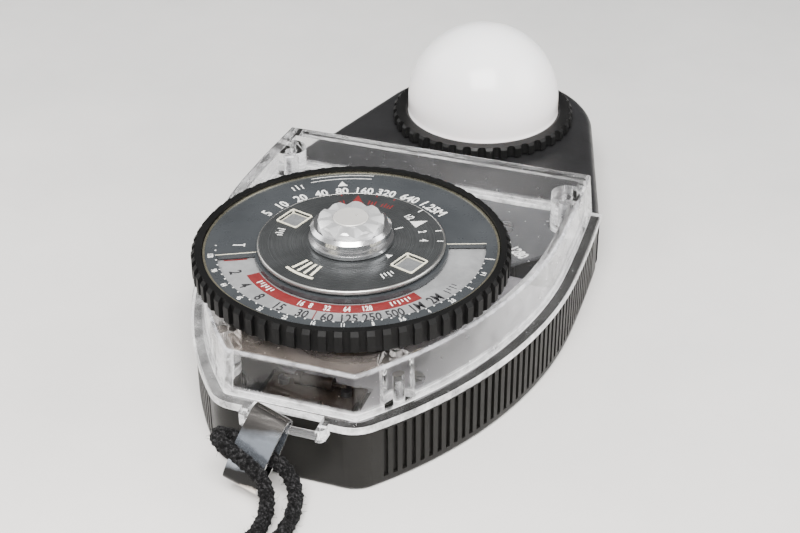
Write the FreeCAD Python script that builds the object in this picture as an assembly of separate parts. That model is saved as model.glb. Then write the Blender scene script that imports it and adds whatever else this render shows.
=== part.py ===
import FreeCAD, Part
import math
import os

# Handheld incident light meter, lying on its back: +Z out of the dial, +Y from the strap lug
# to the swivel head, +X to the right. Everything is drawn in millimetres about the dial's
# axis; save() then moves it so that the origin is the middle of the footprint, on the table.

V = FreeCAD.Vector

# ---- driving dimensions of the body ----
FRONT_Y = -26.3        # front edge of the cover's flange
LUG_FRONT_Y = -28.3    # front of the strap lug
SEAM_Y = 40.0          # where the body ends and the swivel head begins
SEAM_GAP = 0.4
HEAD_END_Y = 87.0
HALF_WIDTH = 29.2      # widest half width of the body, at WIDEST_Y
WIDEST_Y = 20.5
SIDE_R = 68.0          # long curve of each side, ahead of the widest place
REAR_SIDE_R = 300.0    # flatter curve of each side, behind it
CORNER_R = 5.0
WALL = 1.6
CASE_TOP = 10.2
FLANGE_TOP = 11.4
ROOF_TOP = 18.6
ROOF_UNDER = 17.0
CASE_INSET = 0.4       # the case stands this far inside the flange's edge
FLUTE_PITCH = 1.55
FLUTE_W = 0.72
FIRST_FLUTE_Y = -22.6
FLUTE_DEPTH = 0.45

# ---- swivel head and light receptor ----
HEAD_AXIS_Z = 6.0
HEAD_R = 20.0          # round end of the head, about the dome's axis
DOME_Y = HEAD_END_Y - HEAD_R
HEAD_START_HALF = 28.3
HEAD_BOTTOM = 0.7
HEAD_TOP = 11.2
HEAD_SPLIT = 5.6
HEAD_WALL = 1.5
JOURNAL_R = 3.2
RING_R = 16.3
RING_BOTTOM = 11.5
RING_TOP = 13.5
DOME_R = 13.6
DOME_CENTRE_Z = 15.5
DOME_WALL = 1.4
RING_NOTCHES = 39

# ---- calculator dial ----
WHEEL_R = 23.3
WHEEL_TEETH = 66
WHEEL_BOTTOM = 20.2
WHEEL_TOP = 23.7
FACE_TOP = 23.2
FACE_R = 21.6
WINDOW_R = (14.2, 19.6)
WINDOW_DEG = (-152.5, 19.8)
FILM_DISC_R = 13.7
FILM_WINDOWS_DEG = (164.0, -18.0)
SPINDLE_R = 2.98
RUN_GAP = 0.04         # radial clearance of every running fit
COLLAR_R = 5.9
KNOB_R = 4.8
KNOB_TOP = 27.95
KNOB_RIBS = 10
BUTTON_R = 2.6
BUTTON_HEAD_Z = 27.1
BUTTON_TOP = 28.05
SPINDLE_TOP = 24.5
SPRING_R = 1.9
SPRING_WIRE_R = 0.24
SPRING_PITCH = 0.42
SPRING_TURNS = 6

# ---- movement, about the dial's axis ----
MAGNET_R = 6.0
YOKE_R = (7.3, 9.5)
YOKE_Z = (3.6, 9.4)
COIL_HALF = (1.5, 6.9)
COIL_Z = (3.9, 10.0)
NEEDLE_Z = 12.0
NEEDLE_LENGTH = 28.5
NEEDLE_REST_DEG = 38.0  # the unlit needle stands this far left of straight ahead
TAIL_HALF_DEG = 43.0
PLATE_Z = (10.3, 10.9)
BRIDGE_POST_X = 8.4
BRAKE_PIN_Y = -6.0
BRAKE_PIN_R = 0.4
BRAKE_Z = 15.6

# ---- strap ----
CORD_D = 2.4
BAR_CENTRE = V(-1.9, -27.8, 10.2)
BAR_R = 0.6
LUG_HALF = 6.4
SLOT_HALF = 5.2
SLOT_REAR_Y = FRONT_Y + 1.4
LINK_LEAN_DEG = 30.0   # the link hangs out from the body by this
LINK_TILT_DEG = 16.0   # and lies this far askew in its slot
LINK_W = 5.4
LINK_T = 0.4
COIL_CENTRE = V(6.0, -67.0, 0.0)
COIL_MEAN_R = 13.4
COIL_BUNDLE = (7.4, 7.3)   # width and height of the wound bundle

SCREW_SPOTS = [(24.0, 34.0), (-24.0, 34.0), (13.0, -17.5), (-13.0, -17.5)]
HEAD_SCREW_SPOTS = [(22.0, 46.5), (-22.0, 46.5), (12.6, 78.6), (-12.6, 78.6)]
CHASSIS_SPOTS = [(17.0, 14.0), (-17.0, 14.0), (12.5, -8.5), (-12.5, -8.5)]
SCALE_SPOTS = [(15.0, 30.0), (-15.0, 30.0)]
ORIGIN_Y = (HEAD_END_Y + LUG_FRONT_Y) / 2


# ---- small helpers ----
def cyl(r, z0, z1, x=0.0, y=0.0):
    return Part.makeCylinder(r, z1 - z0, V(x, y, z0))


def tube(r_in, r_out, z0, z1, x=0.0, y=0.0):
    return cyl(r_out, z0, z1, x, y).cut(cyl(r_in, z0 - 1, z1 + 1, x, y))


def cyl_y(r, y0, y1, x=0.0, z=0.0):
    return Part.makeCylinder(r, y1 - y0, V(x, y0, z), V(0, 1, 0))


def tube_y(r_in, r_out, y0, y1, x=0.0, z=0.0):
    return cyl_y(r_out, y0, y1, x, z).cut(cyl_y(r_in, y0 - 1, y1 + 1, x, z))


def cyl_x(r, x0, x1, y=0.0, z=0.0):
    return Part.makeCylinder(r, x1 - x0, V(x0, y, z), V(1, 0, 0))


def box(x0, x1, y0, y1, z0, z1):
    return Part.makeBox(x1 - x0, y1 - y0, z1 - z0, V(x0, y0, z0))


def fuse(shapes):
    return shapes[0].multiFuse(shapes[1:]).removeSplitter() if len(shapes) > 1 else shapes[0]


def group(shapes):
    return Part.makeCompound(shapes)


def revolve(profile, x=0.0, y=0.0):
    """A ring or cap from its (radius, height) outline, about the vertical through x, y."""
    points = [V(x + r, y, z) for r, z in profile]
    face = Part.Face(Part.makePolygon(points + points[:1]))
    return face.revolve(V(x, y, 0), V(0, 0, 1), 360)


def turned(shape, degrees, x=0.0, y=0.0):
    copy = shape.copy()
    copy.rotate(V(x, y, 0), V(0, 0, 1), degrees)
    return copy


def polar(r, degrees, x=0.0, y=0.0):
    return x + r * math.cos(math.radians(degrees)), y + r * math.sin(math.radians(degrees))


def sector(r_in, r_out, z0, z1, deg0, deg1):
    """An annular sector, from deg0 to deg1 counted from +X."""
    inner, outer = (
        [V(*polar(r, deg0 + (deg1 - deg0) * t), z0) for t in (0, 0.5, 1)] for r in (r_in, r_out)
    )
    wire = Part.Wire([
        Part.Arc(*inner).toShape(), Part.LineSegment(inner[2], outer[2]).toShape(),
        Part.Arc(*outer[::-1]).toShape(), Part.LineSegment(outer[0], inner[0]).toShape(),
    ])
    return Part.Face(wire).extrude(V(0, 0, z1 - z0))


def upright_edges_near(shape, spots, reach=1.5):
    """The vertical edges of shape whose middle lies within reach of one of the x, y spots."""
    found = []
    for edge in shape.Edges:
        a, b = edge.Vertexes[0].Point, edge.Vertexes[-1].Point
        if abs(a.x - b.x) + abs(a.y - b.y) > 1.6 or abs(a.z - b.z) < 0.3:
            continue
        middle = (a + b) * 0.5
        if any(math.hypot(middle.x - x, middle.y - y) < reach for x, y in spots):
            found.append(edge)
    return found


def edges_at(shape, z):
    """The edges of shape that lie in the level plane at height z."""
    return [e for e in shape.Edges if all(abs(v.Point.z - z) < 1e-4 for v in e.Vertexes)
            and abs(e.BoundBox.ZLength) < 1e-3]


def screw(x, y, z_head, z_tip, head_r=1.8, shank_r=0.9, head_h=1.0, slot=0.5):
    """A screw driven upward from below: head at z_head, cross slot in the head's face."""
    body = cyl(head_r, z_head, z_head + head_h, x, y).fuse(cyl(shank_r, z_head, z_tip, x, y))
    arm = head_r * 0.7
    cross = box(x - arm, x + arm, y - slot / 2, y + slot / 2, z_head - 1, z_head + 0.45)
    cross = cross.fuse(box(x - slot / 2, x + slot / 2, y - arm, y + arm, z_head - 1, z_head + 0.45))
    return body.cut(cross)


def slotted_screw_down(x, y, z_top, z_tip, head_r=1.3, shank_r=0.6, head_h=0.7):
    """A small slotted screw driven downward, head at z_top."""
    body = cyl(head_r, z_top - head_h, z_top, x, y).fuse(cyl(shank_r, z_tip, z_top, x, y))
    return body.cut(box(x - head_r, x + head_r, y - 0.17, y + 0.17, z_top - 0.35, z_top + 1))


def save(name, shape):
    placed = shape.copy()
    placed.translate(V(0, -ORIGIN_Y, 0))
    solids = placed.Solids
    assert solids and all(s.isValid() for s in solids), name
    placed = solids[0] if len(solids) == 1 else Part.makeCompound(solids)
    placed.exportStep("parts/%s.step" % name)
    print("%-22s %2d solid %9.2f mm3" % (name, len(solids), placed.Volume))


# ---- the body's plan ----
def corner_x(inset):
    """Where the front edge meets the side's long curve, before rounding."""
    reach = SIDE_R - inset
    drop = FRONT_Y + inset - WIDEST_Y
    return HALF_WIDTH - SIDE_R + math.sqrt(reach ** 2 - drop ** 2)


def side_x(y, inset=0.0):
    """Half width of the body's plan at y."""
    radius = SIDE_R if y < WIDEST_Y else REAR_SIDE_R
    return HALF_WIDTH - radius + math.sqrt((radius - inset) ** 2 - (y - WIDEST_Y) ** 2)


def plan_wire(inset, rear_y, z):
    """Closed outline of the body's plan, drawn in by inset on the front and the sides."""
    front = FRONT_Y + inset
    fx, rx = corner_x(inset), side_x(rear_y, inset)
    mid_front, mid_rear = (front + WIDEST_Y) / 2, (rear_y + WIDEST_Y) / 2
    widest = HALF_WIDTH - inset
    right = [
        Part.Arc(V(fx, front, z), V(side_x(mid_front, inset), mid_front, z), V(widest, WIDEST_Y, z)),
        Part.Arc(V(widest, WIDEST_Y, z), V(side_x(mid_rear, inset), mid_rear, z), V(rx, rear_y, z)),
    ]
    left = [
        Part.Arc(V(-rx, rear_y, z), V(-side_x(mid_rear, inset), mid_rear, z), V(-widest, WIDEST_Y, z)),
        Part.Arc(V(-widest, WIDEST_Y, z), V(-side_x(mid_front, inset), mid_front, z),
                 V(-fx, front, z)),
    ]
    edges = [Part.LineSegment(V(-fx, front, z), V(fx, front, z))] + right
    edges += [Part.LineSegment(V(rx, rear_y, z), V(-rx, rear_y, z))] + left
    return Part.Wire([e.toShape() for e in edges])


def plan_slab(inset, rear_y, z0, z1, corner):
    """The plan extruded from z0 to z1, with its two front corners rounded."""
    slab = Part.Face(plan_wire(inset, rear_y, z0)).extrude(V(0, 0, z1 - z0))
    front = FRONT_Y + inset
    spots = [(corner_x(inset), front), (-corner_x(inset), front)]
    return slab.makeFillet(corner, upright_edges_near(slab, spots))


def plan_loft(inset0, z0, inset1, z1, rear_y, corner):
    """As plan_slab, but drawn in from inset0 at z0 to inset1 at z1."""
    loft = Part.makeLoft([plan_wire(inset0, rear_y, z0), plan_wire(inset1, rear_y, z1)], True, True)
    inset = (inset0 + inset1) / 2
    spots = [(corner_x(inset), FRONT_Y + inset), (-corner_x(inset), FRONT_Y + inset)]
    return loft.makeFillet(corner, upright_edges_near(loft, spots))


# ---- body shells ----
def flutes():
    """The upright grip flutes along both sides of the case."""
    cutters = []
    y = FIRST_FLUTE_Y
    while y < SEAM_Y - 3.0:
        radius = SIDE_R if y < WIDEST_Y else REAR_SIDE_R
        slope = math.degrees(math.asin((y - WIDEST_Y) / (radius - CASE_INSET)))
        x = side_x(y, CASE_INSET)
        cutter = box(-FLUTE_DEPTH, 1.0, -FLUTE_W / 2, FLUTE_W / 2, 1.3, 9.5)
        cutter.rotate(V(0, 0, 0), V(0, 0, 1), slope)
        cutter.translate(V(x, y, 0))
        cutters += [cutter, cutter.mirror(V(0, 0, 0), V(1, 0, 0))]
        y += FLUTE_PITCH * math.cos(math.radians(slope))
    return group(cutters)


def make_rear_case():
    shell = plan_slab(CASE_INSET, SEAM_Y, 0, CASE_TOP, CORNER_R)
    shell = shell.makeFillet(0.7, [e for e in edges_at(shell, 0) if e.CenterOfMass.y < SEAM_Y - 1])
    shell = shell.cut(plan_slab(CASE_INSET + WALL, SEAM_Y - 2.2, WALL, CASE_TOP + 1, CORNER_R - WALL))
    posts = [cyl(2.5, 1.0, CASE_TOP, x, y) for x, y in SCREW_SPOTS]
    posts += [cyl(1.8, 1.0, 7.2, x, y) for x, y in CHASSIS_SPOTS]
    posts += [cyl(1.8, 1.0, PLATE_Z[0], x, y) for x, y in SCALE_SPOTS]
    shell = shell.multiFuse(posts)
    holes = [cyl(1.1, -1, CASE_TOP + 1, x, y) for x, y in SCREW_SPOTS]
    holes += [cyl(2.0, -1, 1.5, x, y) for x, y in SCREW_SPOTS]
    holes += [cyl(0.62, 3.0, 8.0, x, y) for x, y in CHASSIS_SPOTS]
    holes += [cyl(0.62, 5.5, 11.0, x, y) for x, y in SCALE_SPOTS]
    holes.append(cyl(2.3 + RUN_GAP, -1, 3, 0, -12.0))
    holes.append(box(-5.8, 5.8, FRONT_Y - 1, SLOT_REAR_Y, 7.8, CASE_TOP + 1))
    holes.append(cyl_y(JOURNAL_R + RUN_GAP, 30, 45, 0, HEAD_AXIS_Z))
    shell = shell.cut(group(holes)).cut(box(-17, 17, -5, 30, -1, 0.5))
    return shell.cut(flutes())


def make_back_plate():
    plate = box(-16.9, 16.9, -4.9, 29.9, 0.0, 0.48)
    corners = [(sx * 16.9, y) for sx in (1, -1) for y in (-4.9, 29.9)]
    return plate.makeFillet(1.5, upright_edges_near(plate, corners))


def make_clear_cover():
    flange = plan_slab(0, SEAM_Y, CASE_TOP, FLANGE_TOP, CORNER_R + CASE_INSET)
    raised = plan_loft(1.5, CASE_TOP, 2.3, ROOF_TOP, SEAM_Y, 1.2)
    raised = raised.makeFillet(0.7, edges_at(raised, ROOF_TOP))
    hollow = plan_loft(3.2, CASE_TOP - 0.5, 3.9, ROOF_UNDER, SEAM_Y - 1.8, 0.6)
    lug = box(-LUG_HALF, LUG_HALF, LUG_FRONT_Y, FRONT_Y + 1.5, 9.4, FLANGE_TOP)
    lug_corners = [(LUG_HALF, LUG_FRONT_Y), (-LUG_HALF, LUG_FRONT_Y)]
    lug = lug.makeFillet(1.0, upright_edges_near(lug, lug_corners))
    lug = lug.cut(box(-9, 9, FRONT_Y + 0.3, FRONT_Y + 3, 8, CASE_TOP))
    cover = flange.multiFuse([raised, lug]).cut(hollow)
    cover = cover.cut(box(-SLOT_HALF, SLOT_HALF, LUG_FRONT_Y - 1, SLOT_REAR_Y, 8, 12.6))
    bar_half = SLOT_HALF + 0.3
    cover = cover.fuse(cyl_x(BAR_R, -bar_half, bar_half, BAR_CENTRE.y, BAR_CENTRE.z))
    posts = []
    for x, y in SCREW_SPOTS:
        inside = plan_loft(2.2, CASE_TOP, 3.0, ROOF_UNDER, SEAM_Y - 1.0, 0.6)
        posts.append(cyl(2.6, CASE_TOP, ROOF_UNDER, x, y).common(inside))
    cover = cover.multiFuse(posts + [cyl(5.4, ROOF_UNDER, ROOF_TOP + 0.4)])
    pilots = [cyl(0.92, CASE_TOP - 1, 15.6, x, y) for x, y in SCREW_SPOTS]
    return cover.cut(group(pilots + [cyl(SPINDLE_R + 0.02, 15, 21)]))


def make_case_screws():
    return group([screw(x, y, 0.4, 14.8) for x, y in SCREW_SPOTS])


# ---- movement ----
def make_chassis_plate():
    plate = plan_slab(CASE_INSET + WALL + 0.5, 21.0, 7.2, 8.0, 2.5)
    plate = plate.cut(cyl(YOKE_R[1] + 0.03, 6, 9))
    plate = plate.cut(group([cyl(3.2, 6, 9, x, y) for x, y in SCREW_SPOTS]))
    plate = plate.cut(box(-7.5, 7.5, -27, -12.3, 6, 9))
    return plate.cut(group([cyl(0.7, 6, 9, x, y) for x, y in CHASSIS_SPOTS]))


def make_plate_screws():
    chassis = [slotted_screw_down(x, y, 8.7, 3.6) for x, y in CHASSIS_SPOTS]
    return group(chassis + [slotted_screw_down(x, y, PLATE_Z[1] + 0.7, 5.8) for x, y in SCALE_SPOTS])


def make_scale_plate():
    plate = plan_slab(CASE_INSET + WALL + 1.4, SEAM_Y - 2.1, *PLATE_Z, 0.6)
    keep = sector(20.0, 60.0, PLATE_Z[0] - 1, PLATE_Z[1] + 1, 47.0, 133.0)
    plate = plate.common(keep).cut(group([cyl(2.8, 8, 12, x, y) for x, y in SCREW_SPOTS]))
    return plate.cut(group([cyl(0.65, 8, 12, x, y) for x, y in SCALE_SPOTS]))


def make_yoke():
    ring = tube(*YOKE_R, *YOKE_Z)
    return ring.cut(group([cyl(0.6, 0, 12, x, 0) for x in (-BRIDGE_POST_X, BRIDGE_POST_X)]))


def make_core_magnet():
    return cyl(MAGNET_R, 4.6, 9.2)


def make_core_holder():
    """Two brass blocks that carry the magnet inside the yoke, clear of the coil's swing."""
    blocks = [box(x, x + 4, -2.2, 2.2, 4.6, 9.2) for x in (-8, 4)]
    between = tube(MAGNET_R, YOKE_R[0], 4, 10)
    return group([block.common(between) for block in blocks])


def make_lower_bridge():
    bar = box(-9.4, 9.4, -2.0, 2.0, 1.8, 2.6)
    feet = [box(x - 0.95, x + 0.95, -1.6, 1.6, 2.6, YOKE_Z[0]) for x in (-BRIDGE_POST_X, BRIDGE_POST_X)]
    bar = bar.multiFuse(feet)
    return bar.cut(group([cyl(0.55, 1, 5, x, 0) for x in (-BRIDGE_POST_X, BRIDGE_POST_X)] + [cyl(0.9, 1, 5)]))


def make_upper_bridge():
    bar = box(-9.4, 9.4, -1.8, 1.8, 12.9, 13.7)
    feet = [cyl(1.0, YOKE_Z[1], 12.9, x, 0) for x in (-BRIDGE_POST_X, BRIDGE_POST_X)]
    bar = bar.multiFuse(feet)
    holes = [cyl(0.55, 9, 15, x, 0) for x in (-BRIDGE_POST_X, BRIDGE_POST_X)]
    return bar.cut(group(holes + [cyl(0.9, 12, 15)]))


def make_bridge_screws():
    return group([slotted_screw_down(x, 0, 14.3, 9.9, 1.1, 0.5, 0.6)
                  for x in (-BRIDGE_POST_X, BRIDGE_POST_X)])


def make_jewel_screws():
    """The two cup bearings of the pivots, each with a conical seat for the staff."""
    lower = cyl(0.9, 1.7, 2.75).cut(cyl(0.4, 2.5, 3.0))
    upper = cyl(0.9, 12.75, 13.75).cut(cyl(0.4, 12.0, 13.1))
    return group([lower, upper.cut(box(-1, 1, -0.15, 0.15, 13.5, 15))])


def make_moving_coil():
    outer = box(-COIL_HALF[0], COIL_HALF[0], -COIL_HALF[1], COIL_HALF[1], *COIL_Z)
    inner = box(-3, 3, -COIL_HALF[1] + 0.6, COIL_HALF[1] - 0.6, COIL_Z[0] + 0.5, COIL_Z[1] - 0.5)
    return turned(outer.cut(inner), NEEDLE_REST_DEG)


def make_pivot_staffs():
    return group([cyl(0.3, 2.55, COIL_Z[0]), cyl(0.3, COIL_Z[1], 13.05)])


def make_pointer():
    """Needle, hub and the thin tail sector that the brake pad holds."""
    hub = tube(0.3, 0.9, NEEDLE_Z - 0.4, NEEDLE_Z + 0.4)
    blade = box(-0.22, 0.22, 0.6, NEEDLE_LENGTH, NEEDLE_Z - 0.1, NEEDLE_Z + 0.1)
    tail = sector(5.0, 11.5, NEEDLE_Z - 0.1, NEEDLE_Z + 0.1, -90 - TAIL_HALF_DEG, -90 + TAIL_HALF_DEG)
    arm = box(-0.8, 0.8, -5.4, -0.6, NEEDLE_Z - 0.1, NEEDLE_Z + 0.1)
    return turned(fuse([hub, blade, tail, arm]), NEEDLE_REST_DEG)


def make_balance_weights():
    spots = [polar(9.6, NEEDLE_REST_DEG + a) for a in (-126, -54)]
    return group([cyl(0.8, NEEDLE_Z - 0.9, NEEDLE_Z - 0.1, x, y) for x, y in spots])


def spiral(r0, r1, turns, z0, z1, thick):
    """A flat hairspring: a band of even thickness wound from r0 out to r1."""
    steps = int(turns * 12)
    inner, outer = [], []
    for i in range(steps + 1):
        r = r0 + (r1 - r0) * i / steps
        angle = 360.0 * turns * i / steps
        inner.append(V(*polar(r - thick / 2, angle), z0))
        outer.append(V(*polar(r + thick / 2, angle), z0))
    curves = []
    for row in (inner, outer):
        curve = Part.BSplineCurve()
        curve.interpolate(row)
        curves.append(curve.toShape())
    ends = [Part.LineSegment(inner[i], outer[i]).toShape() for i in (0, -1)]
    wire = Part.Wire(Part.__sortEdges__(curves + ends))
    return Part.Face(wire).extrude(V(0, 0, z1 - z0))


def make_hairsprings():
    return group([spiral(0.55, 3.4, 4, 10.5, 10.9, 0.14), spiral(0.55, 3.0, 4, 3.3, 3.6, 0.14)])


def make_zero_screw():
    """Slotted plug in the back with an eccentric pin that stands up in the lever's fork."""
    plug = cyl(2.3, 0.2, 2.2, 0, -12.0).fuse(cyl(0.5, 2.2, 3.2, 0, -13.0))
    return plug.cut(box(-1.8, 1.8, -12.35, -11.65, -1, 0.9))


def make_zero_lever():
    ring = tube(0.9 + RUN_GAP, 2.0, 2.62, 2.9)
    arm = box(-0.7, 0.7, -11.4, -1.5, 2.62, 2.9)
    fork = box(-1.7, 1.7, -14.6, -11.0, 2.62, 2.9)
    return fuse([ring, arm, fork]).cut(box(-0.56, 0.56, -15, -11.6, 2, 4))


def make_terminal_board():
    board = box(-6.8, 6.8, -22.3, -12.9, 7.4, 8.2)
    feet = [cyl(0.9, WALL, 7.4, x, -20.0) for x in (-4.5, 4.5)]
    return board.multiFuse(feet)


def make_terminals():
    return group([cyl(0.8, 8.2, 9.1, x, y) for x in (-4.8, 4.8) for y in (-20.6, -15.0)])


def make_calibration_resistors():
    """Two small film resistors with end caps, lying across the terminal board."""
    bodies = []
    for y in (-20.6, -15.0):
        bodies.append(fuse([cyl_x(0.85, -2.6, 2.6, y, 9.5), cyl_x(1.0, -2.9, -1.9, y, 9.5),
                            cyl_x(1.0, 1.9, 2.9, y, 9.5), cyl_x(0.25, -4.8, 4.8, y, 9.5)]))
    return group(bodies)


# ---- needle brake ----

def make_brake_bracket():
    """A bridge under the roof that carries the brake lever's pin."""
    ears = [box(s * 2.3 - 0.35, s * 2.3 + 0.35, -7.2, -4.8, 14.9, ROOF_UNDER) for s in (-1, 1)]
    bracket = group(ears).fuse(box(-2.65, 2.65, -7.2, -4.8, 16.55, ROOF_UNDER))
    return bracket.cut(cyl_x(BRAKE_PIN_R + 0.01, -4, 4, BRAKE_PIN_Y, BRAKE_Z))


def make_brake_pin():
    return cyl_x(BRAKE_PIN_R, -2.6, 2.6, BRAKE_PIN_Y, BRAKE_Z)


def make_brake_lever():
    """Rocks on its pin: the button pushes one end down, and the pad end lifts off the tail."""
    barrel = cyl_x(0.8, -1.8, 1.8, BRAKE_PIN_Y, BRAKE_Z)
    strip = box(-1.0, 1.0, -10.6, 1.4, BRAKE_Z - 0.2, BRAKE_Z + 0.2)
    pad = box(-1.0, 1.0, -10.6, -8.8, NEEDLE_Z + 0.2, BRAKE_Z)
    lever = fuse([barrel, strip, pad])
    return lever.cut(cyl_x(BRAKE_PIN_R + RUN_GAP, -4, 4, BRAKE_PIN_Y, BRAKE_Z))


# ---- calculator dial ----
def make_dial_spindle():
    body = fuse([cyl(4.6, 16.5, ROOF_UNDER), cyl(SPINDLE_R, 16.5, SPINDLE_TOP)])
    return body.cut(cyl(1.2 + RUN_GAP, 15, 27))


def make_spindle_nut():
    hexagon = Part.Face(Part.makePolygon([V(*polar(4.6, 60 * i), 19.0) for i in range(7)]))
    return hexagon.extrude(V(0, 0, 0.9)).cut(cyl(SPINDLE_R + 0.02, 18, 21))


def make_wheel():
    rim = [(20.7, 22.5), (20.7, 21.4), (4.2, 21.4), (4.2, 20.2), (22.6, WHEEL_BOTTOM),
           (WHEEL_R, 20.6), (WHEEL_R, 23.1), (22.8, WHEEL_TOP), (21.75, WHEEL_TOP),
           (21.65, 22.5)]
    wheel = revolve(rim)
    flute = box(22.65, 25, -0.55, 0.55, 19, 25)
    return wheel.cut(group([turned(flute, 360.0 * i / WHEEL_TEETH) for i in range(WHEEL_TEETH)]))


def make_wheel_bush():
    return tube(SPINDLE_R + RUN_GAP, 4.2, 20.0, 21.4)


def make_dial_face():
    face = tube(5.2, FACE_R, 22.5, FACE_TOP)
    return face.cut(sector(*WINDOW_R, 22, 24, *WINDOW_DEG))


def make_dial_trim_ring():
    return tube(FACE_R - 0.3, FACE_R, FACE_TOP, FACE_TOP + 0.15)


def make_shutter_disc():
    return tube(5.0 + RUN_GAP, 20.3, 21.6, 22.2)


def make_film_disc():
    disc = revolve([(SPINDLE_R + RUN_GAP, 21.6), (5.0, 21.6), (5.0, 23.3), (13.5, 23.3),
                    (FILM_DISC_R, 23.5), (FILM_DISC_R, 23.9), (13.5, 24.1),
                    (SPINDLE_R + RUN_GAP, 24.1)])
    window = box(8.9, 12.2, -1.8, 1.8, 23.55, 25)
    return disc.cut(group([turned(window, a) for a in FILM_WINDOWS_DEG]))


def make_knob_collar():
    bore = SPINDLE_R + RUN_GAP
    return revolve([(bore, 24.1), (COLLAR_R, 24.1), (COLLAR_R + 0.3, 24.4), (COLLAR_R + 0.3, 24.9),
                    (COLLAR_R - 0.4, 25.2), (COLLAR_R - 0.4, 25.5), (COLLAR_R, 25.8),
                    (COLLAR_R, 26.5), (COLLAR_R - 0.5, 27.0), (bore, 27.0)])


def make_knob_cap():
    """The cap of the film-speed knob: flat ribs with V notches between, open for the button."""
    bore = BUTTON_R + RUN_GAP
    cap = revolve([(bore, 27.0), (KNOB_R, 27.0), (KNOB_R, KNOB_TOP - 0.25),
                   (KNOB_R - 0.25, KNOB_TOP), (bore, KNOB_TOP)])
    ends = []
    for r, half, depth in ((2.9, 0.5, 0.1), (5.4, 1.65, 0.95)):
        corners = [V(r, -half, KNOB_TOP + 0.02), V(r, half, KNOB_TOP + 0.02), V(r, 0, KNOB_TOP - depth)]
        ends.append(Part.makePolygon(corners + corners[:1]))
    notch = Part.makeLoft(ends, True, True)
    return cap.cut(group([turned(notch, 360.0 * i / KNOB_RIBS + 10) for i in range(KNOB_RIBS)]))


def make_stop_button():
    head = revolve([(0, BUTTON_HEAD_Z), (BUTTON_R, BUTTON_HEAD_Z), (BUTTON_R, BUTTON_TOP - 0.1),
                    (BUTTON_R - 0.1, BUTTON_TOP), (0, BUTTON_TOP)])
    dimple = cyl(0.2, BUTTON_TOP - 0.3, BUTTON_TOP + 1, 0.7, 0.7)
    return head.fuse(cyl(1.2, 15.9, BUTTON_HEAD_Z)).cut(dimple)


def make_button_clip():
    return tube(1.2, 2.0, 16.15, 16.45).cut(box(-0.6, 0.6, 0, 3, 15, 17))


def make_button_spring():
    """Return spring between the spindle's top and the button's head, its coils closed up."""
    first = SPINDLE_TOP + SPRING_WIRE_R
    return fuse([Part.makeTorus(SPRING_R, SPRING_WIRE_R, V(0, 0, first + SPRING_PITCH * i))
                 for i in range(SPRING_TURNS)])


# ---- swivel head ----
def head_wire(inset, z):
    """Plan of the head: straight flanks running into a round end about the dome's axis."""
    r = HEAD_R - inset
    start_y = SEAM_Y + SEAM_GAP + inset
    px, py = HEAD_START_HALF - inset * 1.04, start_y - DOME_Y
    distance = math.hypot(px, py)
    turn = math.atan2(py, px) + math.acos(r / distance)
    tx, ty = r * math.cos(turn), DOME_Y + r * math.sin(turn)
    a, b = V(px, start_y, z), V(tx, ty, z)
    c, d = V(-tx, ty, z), V(-px, start_y, z)
    top = V(0, DOME_Y + r, z)
    return Part.Wire([
        Part.LineSegment(d, a).toShape(), Part.LineSegment(a, b).toShape(),
        Part.Arc(b, top, c).toShape(), Part.LineSegment(c, d).toShape(),
    ])


def head_slab(inset, z0, z1):
    return Part.Face(head_wire(inset, z0)).extrude(V(0, 0, z1 - z0))


def shoulder_edges(shape, z):
    return [e for e in edges_at(shape, z) if e.CenterOfMass.y > SEAM_Y + SEAM_GAP + 0.5]


def make_head_front_shell():
    shell = head_slab(0, HEAD_SPLIT, HEAD_TOP)
    shell = shell.makeFillet(1.9, shoulder_edges(shell, HEAD_TOP))
    shell = shell.cut(head_slab(HEAD_WALL, HEAD_SPLIT - 1, HEAD_TOP - 1.4))
    posts = [cyl(2.0, HEAD_SPLIT, HEAD_TOP - 1, x, y) for x, y in HEAD_SCREW_SPOTS]
    shell = shell.multiFuse([p.common(head_slab(0.6, HEAD_SPLIT, HEAD_TOP - 1)) for p in posts])
    holes = [cyl(0.92, HEAD_SPLIT - 1, 9.4, x, y) for x, y in HEAD_SCREW_SPOTS]
    holes += [cyl(14.6, 4, 13, 0, DOME_Y), cyl_y(JOURNAL_R + 0.02, 38, 44, 0, HEAD_AXIS_Z)]
    return shell.cut(group(holes))


def make_head_rear_shell():
    shell = head_slab(0, HEAD_BOTTOM, HEAD_SPLIT)
    shell = shell.makeFillet(1.6, shoulder_edges(shell, HEAD_BOTTOM))
    shell = shell.cut(head_slab(HEAD_WALL, HEAD_BOTTOM + 1.5, HEAD_SPLIT + 1))
    posts = [cyl(2.4, HEAD_BOTTOM + 1, HEAD_SPLIT, x, y).common(head_slab(0.9, 1, HEAD_SPLIT))
             for x, y in HEAD_SCREW_SPOTS]
    shell = shell.multiFuse(posts + [tube(12.7, 13.7, 2.0, HEAD_SPLIT, 0, DOME_Y)])
    holes = [cyl(1.05, -1, HEAD_SPLIT + 1, x, y) for x, y in HEAD_SCREW_SPOTS]
    holes += [cyl(1.85, -1, 2.0, x, y) for x, y in HEAD_SCREW_SPOTS]
    holes.append(cyl_y(JOURNAL_R + 0.02, 38, 44, 0, HEAD_AXIS_Z))
    return shell.cut(group(holes))


def make_head_screws():
    return group([screw(x, y, 1.0, 9.2, 1.7) for x, y in HEAD_SCREW_SPOTS])


def make_swivel_hub():
    """Hollow journal with a flange behind the head's front wall; the cell's leads run inside."""
    start = SEAM_Y + SEAM_GAP + HEAD_WALL
    hub = cyl_y(JOURNAL_R, 33.0, start + 1.2, 0, HEAD_AXIS_Z)
    hub = hub.fuse(cyl_y(3.75, start + 0.05, start + 1.2, 0, HEAD_AXIS_Z))
    return hub.cut(cyl_y(1.8, 30, 50, 0, HEAD_AXIS_Z))


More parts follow.
